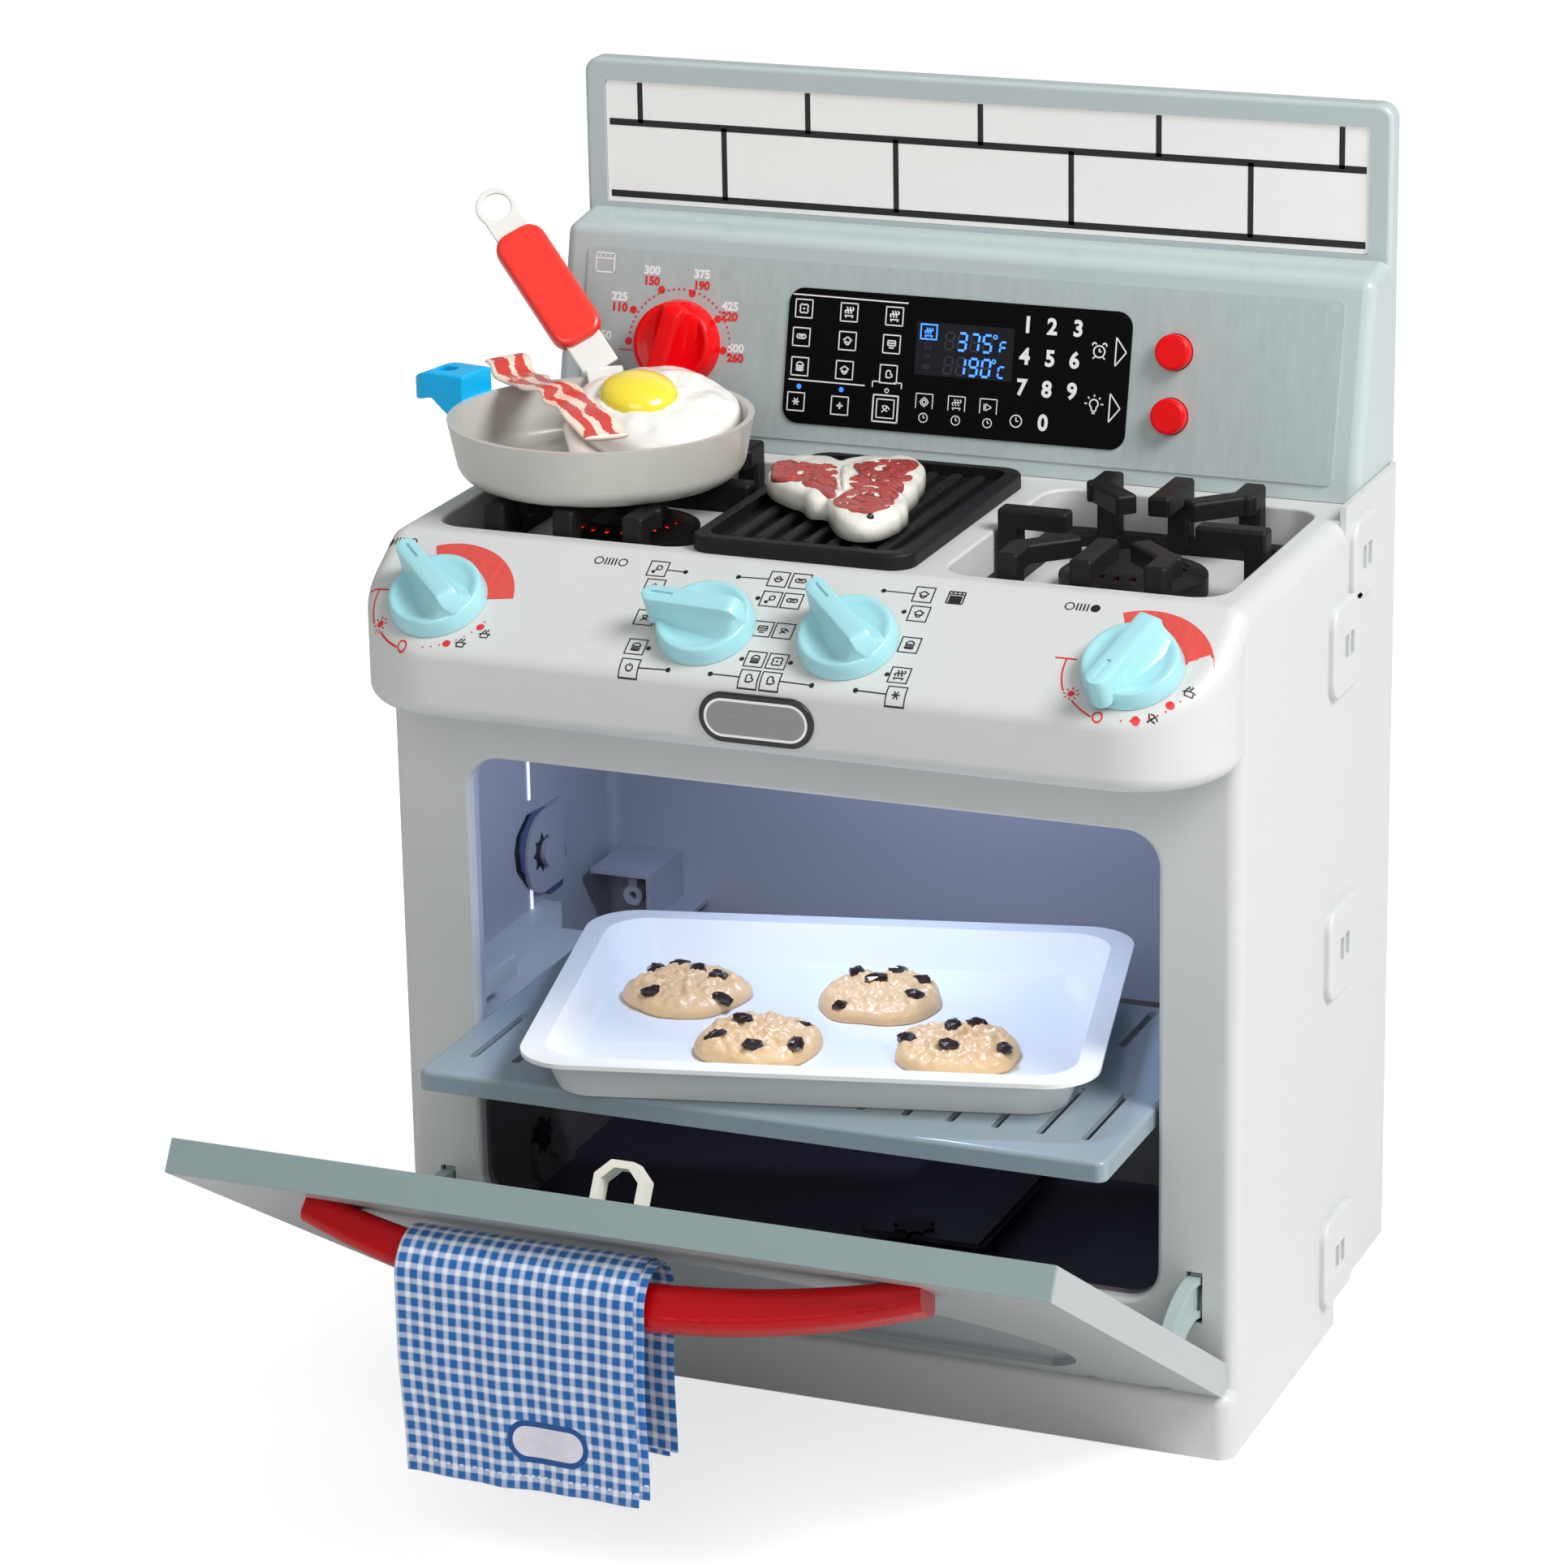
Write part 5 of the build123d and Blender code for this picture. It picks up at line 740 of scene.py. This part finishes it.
def mound(name, seat, rim, height, mat, body, rings=26, spokes=120, power=3.0, lump=0.0, lumpSize=8.0, seed=0.0):
    # seat is (middle, ahead, across, up); the top is rounded to the rim and lumpy, the underside is flat
    middle, ahead, across, up = seat
    verts = []
    faces = []
    for ring in range(rings + 1):
        t = math.sin(math.pi / 2 * ring / rings)
        for spoke in range(spokes):
            angle = 360 * spoke / spokes
            reach = rim(angle) * t
            x = reach * math.cos(math.radians(angle))
            y = reach * math.sin(math.radians(angle))
            z = height * max(0.0, 1 - t ** power) ** (1 / power)
            wobble = noise.fractal(Vector((x / lumpSize + seed, y / lumpSize - seed, seed)), 1.0, 2.0, 3) * lump
            z += wobble * (1 - t ** 6)
            verts.append(middle + ahead * x + across * y + up * max(z, 0.0))
    for ring in range(rings):
        for spoke in range(spokes):
            a = ring * spokes + spoke
            b = ring * spokes + (spoke + 1) % spokes
            faces.append((a, a + spokes, b + spokes, b))
    last = rings * spokes
    verts.append(middle)
    for spoke in range(spokes):
        faces.append((len(verts) - 1, last + (spoke + 1) % spokes, last + spoke))
    return makePiece(name, verts, faces, mat, body)


def level(x, y, z, turn=0.0):
    angle = math.radians(turn)
    ahead = Vector((math.cos(angle), math.sin(angle), 0))
    across = Vector((-math.sin(angle), math.cos(angle), 0))
    return Vector((x, y, z)), ahead, across, Vector((0, 0, 1))


cookies = {
    "places": ((-87.5, -69.0), (-28.0, -121.0), (6.0, -46.0), (66.0, -99.0)),
    "foot": 173.9,
    "radius": 30.8,
    "height": 11.4,
    "chips": (
        ((-109, -58), (-101, -46), (-87, -57), (-98, -88), (-64, -81), (-74, -62)),
        ((-38, -115), (-23, -141), (-12, -104), (-5, -131), (-45, -134)),
        ((2, -42), (-6, -70), (6, -20), (21, -30), (-12, -31), (26, -52)),
        ((60, -88), (67, -113), (91, -102), (68, -77), (42, -104)),
    ),
}
dough = plastic("cookieDough", (248, 206, 152), rough=0.42, shade=0.74, cloud=75, grain=520, bump=0.3, coat=0.15)
chipBrown = plastic("chipBrown", (46, 26, 22), rough=0.2, shade=0.6, cloud=160, grain=500, bump=0.1, coat=0.5)
for index, (x, y) in enumerate(cookies["places"]):
    name = "cookie_%d" % (index + 1)
    wave = index * 1.7
    uneven = [(a, 1.1 * math.sin(a * 0.07 + wave) - 0.8 * math.cos(a * 0.11 + wave)) for a in range(0, 360, 24)]
    rim = smoothRim([(a, cookies["radius"] + extra) for a, extra in uneven])
    seat = level(x, y, cookies["foot"], 40 * index)
    cake = mound("cookieDough%d" % (index + 1), seat, rim, cookies["height"] - 1.0, dough, name,
                 rings=34, spokes=150, power=2.8, lump=3.2, lumpSize=5.5, seed=3 + index)
    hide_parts(name)
    cakeTop = surfaceOf(cake)
    verts = []
    faces = []
    for chip, (chipX, chipY) in enumerate(cookies["chips"][index]):
        hit = cakeTop.ray_cast(Vector((chipX, chipY, cookies["foot"] + 40)) * mm, Vector((0, 0, -1)), 0.08)
        if hit[0] is None:
            continue
        middle = hit[0] / mm
        out = (hit[1] + Vector((0, 0, 1.6))).normalized()
        turned = chip * 1.9 + index
        side = out.cross(Vector((math.cos(turned), math.sin(turned), 0.2))).normalized()
        other = out.cross(side)
        first = len(verts)
        for row in range(5):
            lift = (0.62, 0.5, 0.34, 0.16, 0.02)[row] * math.pi
            for spoke in range(7):
                around = 2 * math.pi * (spoke + 0.3 * (row % 2)) / 7
                place = Vector((chip * 3 + math.cos(around), row * 0.9 + index, math.sin(around) + 4))
                lumpy = 1 + 0.4 * noise.noise(place)
                flat = side * math.cos(around) * 6.0 + other * math.sin(around) * 4.6
                verts.append(middle + flat * math.sin(lift) * lumpy + out * (2.7 * math.cos(lift) * lumpy - 0.1))
        for row in range(4):
            for spoke in range(7):
                a = first + row * 7 + spoke
                b = first + row * 7 + (spoke + 1) % 7
                faces.append((a, b, b + 7, a + 7))
        faces.append(tuple(first + 28 + spoke for spoke in range(7)))
    makePiece("cookieChips%d" % (index + 1), verts, faces, chipBrown, name, smooth=False)
print("stage: cookies")

# ---- steak ----
steak = {
    "foot": 425.2,
    "middle": (-8, -38),
    "outline": (
        (-57, -28), (-58.5, -16), (-60, -2), (-57, 4), (-49, 7.4), (-41, 9), (-31.4, 2), (-27.6, 9),
        (-23.9, 14.5), (-12.4, 17), (-2, 22), (7.5, 13.6), (16, -4.5), (19.5, -21.6), (23, -47), (30, -71),
        (30, -84), (27, -94), (20.5, -99.4), (9.8, -96.5), (-3, -80), (-9, -70), (-17, -69.7), (-26, -59.4),
        (-39.7, -50.5), (-51, -38.6),
    ),
    "meat": (
        ((-33, -32), (
            (-53.4, -30), (-56, -13), (-48, -13), (-41.5, -13.3), (-33, -16), (-27.5, -12), (-20, -24),
            (-15, -36), (-11.5, -48), (-7, -60), (-4, -70), (-11, -66), (-20, -57.7), (-30.5, -50),
            (-38.6, -48), (-49.5, -40),
        )),
        ((5, -45), (
            (-19.5, -10.8), (-18, -5), (-16.7, 0.8), (-9, 5.3), (-1.7, 8.6), (6.3, 8.5), (10.6, 2.9),
            (12.4, -5.8), (14.5, -17.7), (12, -22), (16.2, -32), (20.6, -46.4), (22.4, -61.4), (26, -74.6),
            (24.6, -81.7), (20.8, -88.9), (13.9, -89.7), (4.3, -85), (-5, -72), (-2, -60), (-3.8, -50),
            (-10.5, -25.5),
        )),
    ),
    "bone": ((-23.5, -9), (-4.5, -57), 2.3),
    "plug": (22, -92),
}
fat = plastic("steakFat", (236, 234, 224), rough=0.3, shade=0.92, cloud=70, grain=380, bump=0.15, coat=0.3)
lean = plastic("steakLean", (192, 72, 66), rough=0.26, shade=0.52, cloud=150, grain=420, bump=0.3, coat=0.4)
middle = steak["middle"]
seat = level(middle[0], middle[1], steak["foot"])
slab = mound("steakFat", seat, rimOf(steak["outline"], middle), 11.9, fat, "steak",
             power=6.0, lump=1.2, lumpSize=9, seed=11, spokes=200)
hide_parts("steak")
for index, (middle, outline) in enumerate(steak["meat"]):
    seat = level(middle[0], middle[1], steak["foot"] + 8.0)
    mound("steakLean%d" % (index + 1), seat, rimOf(outline, middle), 4.7, lean, "steak",
          power=5.0, lump=1.5, lumpSize=5, seed=17 + index, spokes=160)
(x0, y0), (x1, y1), half = steak["bone"]
boneHalf = math.hypot(x1 - x0, y1 - y0) / 2
seat = level((x0 + x1) / 2, (y0 + y1) / 2, steak["foot"] + 8.0, math.degrees(math.atan2(y1 - y0, x1 - x0)))


def boneRim(turn):
    angle = math.radians(turn)
    return 1 / math.sqrt((math.cos(angle) / boneHalf) ** 2 + (math.sin(angle) / (half + 0.8)) ** 2)


mound("steakBone", seat, boneRim, 6.0, fat, "steak", power=2.4, lump=0.3)
seat = level(steak["plug"][0], steak["plug"][1], steak["foot"] + 9.5)
mound("steakPlug", seat, lambda a: 1.8, 3.0, chipBrown, "steak", rings=8, spokes=20, power=2.2)

# ---- egg ----
egg = {
    "middle": Vector((-123.8, -6.9, 448.2)),
    "ahead": unit((0.5034, -0.8264, -0.2522)),
    "across": unit((0.8540, 0.5202, 0)),
    "rim": ((0, 42), (40, 40), (80, 43), (120, 39), (160, 41), (200, 39), (240, 42), (280, 39.5), (320, 41)),
    "yolk": (-1.4, -8.4),
}
egg["up"] = egg["ahead"].cross(egg["across"])
seat = (egg["middle"], egg["ahead"], egg["across"], egg["up"])
eggWhite = plastic("eggWhite", (236, 235, 230), rough=0.26, shade=0.95, cloud=40, grain=200, bump=0.05, coat=0.4)
eggYolk = plastic("eggYolk", (252, 228, 60), rough=0.18, shade=0.88, cloud=40, grain=150, bump=0.02, coat=0.7)
white = mound("eggWhite", seat, smoothRim(egg["rim"]), 16.2, eggWhite, "egg", power=3.6, lump=2.4, lumpSize=13, seed=5)
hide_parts("egg_white")
yolkMiddle = egg["middle"] + egg["ahead"] * egg["yolk"][0] + egg["across"] * egg["yolk"][1] + egg["up"] * 14.4
yolkSeat = (yolkMiddle, egg["ahead"], egg["across"], egg["up"])
yolk = mound("eggYolk", yolkSeat, lambda angle: 19.5 + 0.5 * math.sin(math.radians(2 * angle)), 10.0, eggYolk, "egg",
             power=2.2, lump=0.3, lumpSize=20)
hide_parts("egg_yolk")

# ---- bacon ----
bacon = {
    "start": Vector((-216.0, 15.5, 458.8)),
    "turn": -43.7,
    "path": ((0.0, 9.2), (18.0, 4.0), (69.0, 8.6), (105.0, 6.7), (132.0, -0.6)),
    "half": 11.4,
    "wall": 2.6,
    "steps": 132,
    "columns": 26,
}
baconRed = plastic("baconRed", (222, 72, 60), rough=0.26, shade=0.7, cloud=120, grain=420, bump=0.2, coat=0.5)
baconCream = plastic("baconCream", (248, 224, 206), rough=0.28, shade=0.9, cloud=80, grain=420, bump=0.15, coat=0.4)


def pathHeight(path, run):
    for (a, za), (b, zb) in zip(path, path[1:]):
        if run <= b:
            t = (run - a) / (b - a)
            t = t * t * (3 - 2 * t)
            return za + (zb - za) * t
    return path[-1][1]


angle = math.radians(bacon["turn"])
along = Vector((math.cos(angle), math.sin(angle), 0))
across = Vector((-math.sin(angle), math.cos(angle), 0))
verts = []
for sheet in (0, 1):
    for step in range(bacon["steps"] + 1):
        run = step * 132.0 / bacon["steps"]
        for column in range(bacon["columns"] + 1):
            share = column / bacon["columns"] * 2 - 1
            sway = 0.9 * math.sin(run * 0.11) + 0.6 * math.sin(run * 0.27 + 1)
            reach = share * (bacon["half"] + 0.8 * math.sin(run * 0.19 + share * 2)) + sway
            rise = pathHeight(bacon["path"], run) + 0.5 * math.sin(run * 0.22 + 1.4 * share)
            edge = bacon["wall"] / 2 * math.sqrt(max(0.05, 1 - share ** 6))
            height = Vector((0, 0, rise + (edge if sheet == 0 else -edge)))
            verts.append(bacon["start"] + along * run + across * reach + height)
row = bacon["columns"] + 1
sheetSize = row * (bacon["steps"] + 1)
faces = []
faceMats = []
for step in range(bacon["steps"]):
    run = step * 132.0 / bacon["steps"]
    for column in range(bacon["columns"]):
        a = step * row + column
        share = (column + 0.5) / bacon["columns"] * 2 - 1
        stripe = 0
        for middle, width, phase in ((-0.52, 0.3, 0.0), (0.42, 0.34, 2.0)):
            drift = 0.1 * math.sin(run * 0.13 + phase) + 0.06 * math.sin(run * 0.37 + phase)
            if abs(share - middle - drift) < width * (0.85 + 0.3 * math.sin(run * 0.2 + phase * 2)):
                stripe = 1
        faces.append((a, a + row, a + row + 1, a + 1))
        faces.append((sheetSize + a, sheetSize + a + 1, sheetSize + a + row + 1, sheetSize + a + row))
        faceMats += [stripe, stripe]
sides = ((0, 0), (bacon["columns"], 1))
ends = ((0, 1), (bacon["steps"], 0))
edges = [(step * row + column, row, flip) for step in range(bacon["steps"]) for column, flip in sides]
edges += [(step * row + column, 1, flip) for column in range(bacon["columns"]) for step, flip in ends]
for a, stride, flip in edges:
    quad = (a, a + sheetSize, a + sheetSize + stride, a + stride)
    faces.append(quad[::-1] if flip else quad)
    faceMats.append(0)
strip = makePiece("baconStrip", verts, faces, [baconCream, baconRed], "bacon", faceMats=faceMats)
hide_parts("bacon")
print("stage: steak, egg and bacon")

# ---- inside of the oven: seam, tab and locking darts, with painted light in the seam and painted shade on the tab and darts ----
cavity = {
    "wall": -212.9,
    "seam": ((20.5, 262.0, 234.0), (19.8, 186.4, 142.0)),
    "tab": ((40.5, 224.8), (20.6, 226.7), (8.1, 219.3), (4.5, 211.3), (6.6, 200.4),
            (17.7, 188.8), (41, 176.5), (55.2, 176.2), (60.6, 192.8), (57.9, 212.1)),
    "darts": ((27.8, 203.6), (19.1, 49.2)),
    "band": (-21.0, 41.5, -6.0, 112.0),
    "floorDartShade": (4.0, 2.2),
}
# painted light: the seam glows as if light leaked through the joint; there is no lamp there
seamPaintedGlow = glow("seamPaintedLight", (225, 228, 255), 0.9, base=(230, 230, 235))
# painted shade and painted lamp light: the tab is shell plastic coloured a shaded dark blue
tabPaintedShadeBlue = plastic("tabPaintedShadePlastic", (84, 92, 132), rough=0.3, shade=0.8, cloud=40)
# painted shade: near black for the tab's shadow, the floor band's shadow and the dark in the dart slots
paintedShadeBlack = plastic("paintedShadeBlack", (13, 13, 19), rough=0.3, shade=0.7, cloud=120)


def wallPiece(name, points, near, far, mat, axis=0):
    # a flat piece standing off a wall (axis 0) or a floor (axis 2), between two heights
    count = len(points)
    lift = (lambda p, h: (h, p[0], p[1])) if axis == 0 else (lambda p, h: (p[0], p[1], h))
    verts = [lift(p, near) for p in points] + [lift(p, far) for p in points]
    faces = [tuple(range(count, 2 * count)), tuple(reversed(range(count)))]
    faces += [(i, (i + 1) % count, count + (i + 1) % count, count + i) for i in range(count)]
    return makePiece(name, verts, faces, mat, "body", smooth=False)


def oblong(x0, x1, y0, y1):
    return [(x0, y0), (x1, y0), (x1, y1), (x0, y1)]


def dartShape(u, v, size):
    points = []
    for step in range(24):
        angle = 2 * math.pi * step / 24
        reach = size * (0.62 + 0.38 * math.cos(4 * angle) ** 2)
        points.append((u + reach * math.cos(angle), v + reach * math.sin(angle)))
    return points


wall = cavity["wall"]
# painted light: glowing strips laid along the wall seam
for index, (y, high, low) in enumerate(cavity["seam"]):
    wallPiece("cavityPaintedSeamLight%d" % (index + 1), oblong(y - 1.1, y + 1.1, low, high), wall, wall + 0.6, seamPaintedGlow)
# painted shadow: the tab throws a dark crescent on its front side
shadow = [(y - 3.2 if y < 30 else y, z) for y, z in cavity["tab"]]
wallPiece("cavityTabShadow", shadow, wall, wall + 0.7, paintedShadeBlack)
wallPiece("cavityTab", cavity["tab"], wall, wall + 1.6, tabPaintedShadeBlue)
for index, (y, z) in enumerate(cavity["darts"]):
    # painted shade: dark pieces laid in the dart slots
    wallPiece("cavityDartShade%d" % (index + 1), dartShape(y, z, 10.5), wall + 1.0, wall + 3.6, paintedShadeBlack)
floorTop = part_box("oven_floor")[1][2] / mm
x0, x1, y0, y1 = cavity["band"]
wallPiece("floorBand", oblong(x0, x1, y0, y1), floorTop - 0.5, floorTop + 2.2, finishMats["floorDark"], axis=2)
wallPiece("floorBandShadow", oblong(x1, x1 + 2.5, y0, y1), floorTop - 0.5, floorTop + 0.2, paintedShadeBlack, axis=2)
wallPiece("floorDartShade", dartShape(*cavity["floorDartShade"], 11.0), floorTop + 1.0, floorTop + 4.0, paintedShadeBlack, axis=2)
print("stage: oven inside")

# ---- towel ----
low, high = [Vector(corner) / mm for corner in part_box("towel")]
halfDepth = (high.y - low.y) / 2
towel = {
    "left": low.x, "right": high.x, "bar": ((low.y + high.y) / 2, high.z - halfDepth), "round": halfDepth - 0.8,
    "frontLow": 58.0, "backLow": 68.0, "gap": 1.5, "across": 60, "along": 110, "thick": 0.5,
}

mat, tree, shader = blankMaterial("ginghamCloth")
cloth = {"blue": ((0, 84, 156), (0, 104, 178)), "white": ((212, 217, 226), (232, 236, 241)),
         "border": ((2, 60, 124), (4, 80, 152)), "field": ((205, 204, 214), (222, 220, 228)),
         "thread": 0.55, "period": (6.5, 6.8), "band": 0.6, "hem": 7.0,
         "patch": (46.5, 24.0), "patchHalf": (11.0, 10.2), "patchEdge": 2.8}
flatUv = addNode(tree, "UVMap", uv_map="weave").outputs["UV"]
split = addNode(tree, "SeparateXYZ", {"Vector": flatUv})


bands = []
weave = []
for axis, period in zip(("X", "Y"), cloth["period"]):
    along = split.outputs[axis]
    repeat = calc(tree, "FRACT", calc(tree, "MULTIPLY", along, 1000 / period))
    bands.append(calc(tree, "LESS_THAN", repeat, cloth["band"]))
    weave.append(calc(tree, "SINE", calc(tree, "MULTIPLY", along, 2 * math.pi * 1000 / cloth["thread"] / 2)))
over = calc(tree, "MULTIPLY", *weave)
hatch = addNode(tree, "MapRange", {"Value": over, "From Min": -0.3, "From Max": 0.3}).outputs["Result"]
stripes = calc(tree, "MULTIPLY", calc(tree, "MAXIMUM", *bands), hatch)
share = calc(tree, "MAXIMUM", calc(tree, "MULTIPLY", *bands), stripes)
fibres = addNode(tree, "TexNoise", {"Vector": flatUv, "Scale": 260.0, "Detail": 3.0}).outputs["Fac"]


def yarn(name):
    dark, pale = cloth[name]
    return blend(tree, fibres, linear(dark), linear(pale))


whiteTone = yarn("white")
dyed = blend(tree, share, whiteTone, yarn("blue"))
# stitches of the hem, then the blank sewn patch
offHem = calc(tree, "ABSOLUTE", calc(tree, "SUBTRACT", split.outputs["Y"], cloth["hem"] * mm))
dash = calc(tree, "LESS_THAN", calc(tree, "FRACT", calc(tree, "MULTIPLY", split.outputs["X"], 1000 / 3.4)), 0.62)
dyed = blend(tree, calc(tree, "MULTIPLY", calc(tree, "LESS_THAN", offHem, 0.00045), dash), dyed, whiteTone)
halfPatch, patchRound = cloth["patchHalf"]
offX = calc(tree, "ABSOLUTE", calc(tree, "SUBTRACT", split.outputs["X"], cloth["patch"][0] * mm))
offX = calc(tree, "MAXIMUM", calc(tree, "SUBTRACT", offX, halfPatch * mm))
offY = calc(tree, "SUBTRACT", split.outputs["Y"], cloth["patch"][1] * mm)
away = calc(tree, "SQRT", calc(tree, "ADD", calc(tree, "MULTIPLY", offX, offX), calc(tree, "MULTIPLY", offY, offY)))
for reach, name in ((patchRound, "border"), (patchRound - cloth["patchEdge"], "field")):
    dyed = blend(tree, calc(tree, "LESS_THAN", away, reach * mm), dyed, yarn(name))
tree.links.new(dyed, shader.inputs["Base Color"])
relief = addNode(tree, "Bump", {"Height": over, "Strength": 0.25, "Distance": 0.0003})
tree.links.new(relief.outputs["Normal"], shader.inputs["Normal"])
shader.inputs["Roughness"].default_value = 0.85
shader.inputs["Sheen Weight"].default_value = 0.25
gingham = mat


def towelPoint(share, along, layer):
    # share runs across, along runs from the front hem over the bar to the back hem
    radius = towel["round"] - layer * towel["gap"]
    frontLength = towel["bar"][1] - towel["frontLow"] + (0 if layer == 0 else -4)
    backLength = towel["bar"][1] - towel["backLow"] + (0 if layer == 0 else -3)
    arc = math.pi * radius
    s = along * (frontLength + arc + backLength)
    x = towel["left"] + 0.6 + share * (towel["right"] - towel["left"] - 6.5 + (0 if layer == 0 else 4.6))
    if s < frontLength:
        y = -radius
        z = -(frontLength - s)
    elif s < frontLength + arc:
        turn = (s - frontLength) / radius
        y = -radius * math.cos(turn)
        z = radius * math.sin(turn)
    else:
        y = radius
        z = -(s - frontLength - arc)
    hang = max(0.0, -z) / frontLength
    fold = 1.5 * math.sin(share * 7.2 + 0.6) + 0.8 * math.sin(share * 17 + 1.9)
    side = 1 if y < 0 else -1
    y += side * hang * (abs(fold) * 0.55 + 0.4) + 0.25 * math.sin(share * 25)
    x += hang * (1.3 * math.sin(z * 0.06) + (share - 0.5) * -2.0)
    z += 0.5 * math.sin(share * 9 + 1) * hang
    return Vector((x, towel["bar"][0] + y, towel["bar"][1] + z)), s


verts = []
flats = []
wide = towel["across"]
turnSteps = 6
columns = []
for index in range(wide + 1):
    columns.append((1 - index / wide, 0.0))
for index in range(1, turnSteps):
    columns.append((0.0, index / turnSteps))
for index in range(wide + 1):
    columns.append((index / wide, 1.0))
for column, (share, layer) in enumerate(columns):
    for step in range(towel["along"] + 1):
        along = step / towel["along"]
        point, s = towelPoint(share, along, layer)
        if 0 < layer < 1:
            point.x -= 0.5 * math.sin(math.pi * layer)
        verts.append(point)
        width = (towel["right"] - towel["left"]) * (1 - share if layer < 0.5 else 1 + share)
        flats.append((width * mm, s * mm))
tall = towel["along"] + 1
faces = []
for column in range(len(columns) - 1):
    for step in range(towel["along"]):
        a = column * tall + step
        faces.append((a, a + tall, a + tall + 1, a + 1))
drape = makePiece("towelCloth", verts, faces, gingham, "towel")
weaveMap = drape.data.uv_layers.new(name="weave")
for loop in drape.data.loops:
    weaveMap.data[loop.index].uv = flats[loop.vertex_index]
thick = drape.modifiers.new("clothThickness", "SOLIDIFY")
thick.thickness = towel["thick"] * mm
thick.offset = 0
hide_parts("towel")
print("stage: towel", [round(v, 1) for v in (towel["bar"] + (towel["round"],))])

# ---- stage ----
def onlySeen(tree, other, seen):
    # mixes to the second shader for rays of the camera, also through clear pieces
    ray = addNode(tree, "LightPath")
    straight = calc(tree, "MAXIMUM", ray.outputs["Is Camera Ray"], ray.outputs["Is Transmission Ray"])
    return addNode(tree, "MixShader", {0: straight, 1: other.outputs[0], 2: seen.outputs[0]})


floorLook = {"half": 8.0, "white": 0.86, "lift": 0.66}
data = bpy.data.meshes.new("studioFloor")
h = floorLook["half"]
data.from_pydata([(-h, -h, -0.0004), (h, -h, -0.0004), (h, h, -0.0004), (-h, h, -0.0004)], [], [(0, 1, 2, 3)])
floor = bpy.data.objects.new("studioFloor", data)
bpy.context.scene.collection.objects.link(floor)
mat = bpy.data.materials.new("studioPaper")
mat.use_nodes = True
tree = mat.node_tree
tree.nodes.clear()
paper = addNode(tree, "BsdfDiffuse", {"Color": (floorLook["white"],) * 3 + (1,)})
lift = addNode(tree, "Emission", {"Color": (1, 1, 1, 1), "Strength": floorLook["lift"]})
dark = addNode(tree, "Emission", {"Color": (0, 0, 0, 1), "Strength": 0.0})
both = addNode(tree, "AddShader", {0: paper.outputs[0], 1: onlySeen(tree, dark, lift).outputs[0]})
addNode(tree, "OutputMaterial", {"Surface": both.outputs[0]})
data.materials.append(mat)

light = {"ambient": 0.34, "key": 158.0, "keyPlace": (2.7, -0.65, 3.2), "keySize": 1.7,
         "fill": 18.0, "fillPlace": (0.3, -2.6, 1.8), "fillSize": 1.6,
         "lamp": 0.5, "lampColour": (0.55, 0.68, 1.0), "lampSize": (0.05, 0.02)}
world = bpy.data.worlds.new("studioWorld")
bpy.context.scene.world = world
world.use_nodes = True
tree = world.node_tree
tree.nodes.clear()
dim = addNode(tree, "Background", {"Color": (1, 1, 1, 1), "Strength": light["ambient"]})
full = addNode(tree, "Background", {"Color": (1, 1, 1, 1), "Strength": 1.0})
addNode(tree, "OutputWorld", {"Surface": onlySeen(tree, dim, full).outputs[0]})


def areaLight(name, power, place, size, aim=(0, -0.05, 0.3), colour=(1, 1, 1)):
    lamp = bpy.data.lights.new(name, "AREA")
    lamp.energy = power
    lamp.size = size
    lamp.color = colour
    obj = bpy.data.objects.new(name, lamp)
    obj.location = place
    obj.rotation_euler = (Vector(aim) - Vector(place)).to_track_quat("-Z", "Y").to_euler()
    bpy.context.scene.collection.objects.link(obj)
    return obj


areaLight("keyLight", light["key"], light["keyPlace"], light["keySize"])
areaLight("fillLight", light["fill"], light["fillPlace"], light["fillSize"])
lensLow = Vector(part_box("lamp_lens")[0])
lampY = lensLow.y + 0.012
lampPlace = (0, lampY, lensLow.z - 0.004)
ovenLamp = areaLight("ovenLamp", light["lamp"], lampPlace, light["lampSize"][0],
                     aim=(0, lampY, 0), colour=light["lampColour"])
ovenLamp.data.shape = "RECTANGLE"
ovenLamp.data.size_y = light["lampSize"][1]

# ---- camera ----
view = {"place": (0.919938, -2.373049, 1.122656), "lens": 124.708,
        "right": (0.9260366, 0.3770345, -0.0173536),
        "up": (-0.104137, 0.299424, 0.9484201),
        "back": (0.3627832, -0.8764646, 0.3165408)}
camData = bpy.data.cameras.new("camera")
camData.lens = view["lens"]
camData.sensor_width = 36.0
camData.clip_start = 0.05
camData.clip_end = 50.0
cam = bpy.data.objects.new("camera", camData)
turned = Matrix([view[axis] for axis in ("right", "up", "back")]).transposed().to_4x4()
cam.matrix_world = Matrix.Translation(view["place"]) @ turned
bpy.context.scene.collection.objects.link(cam)
bpy.context.scene.camera = cam
bpy.context.scene.view_settings.view_transform = "Standard"
print("stage: floor, light and camera")
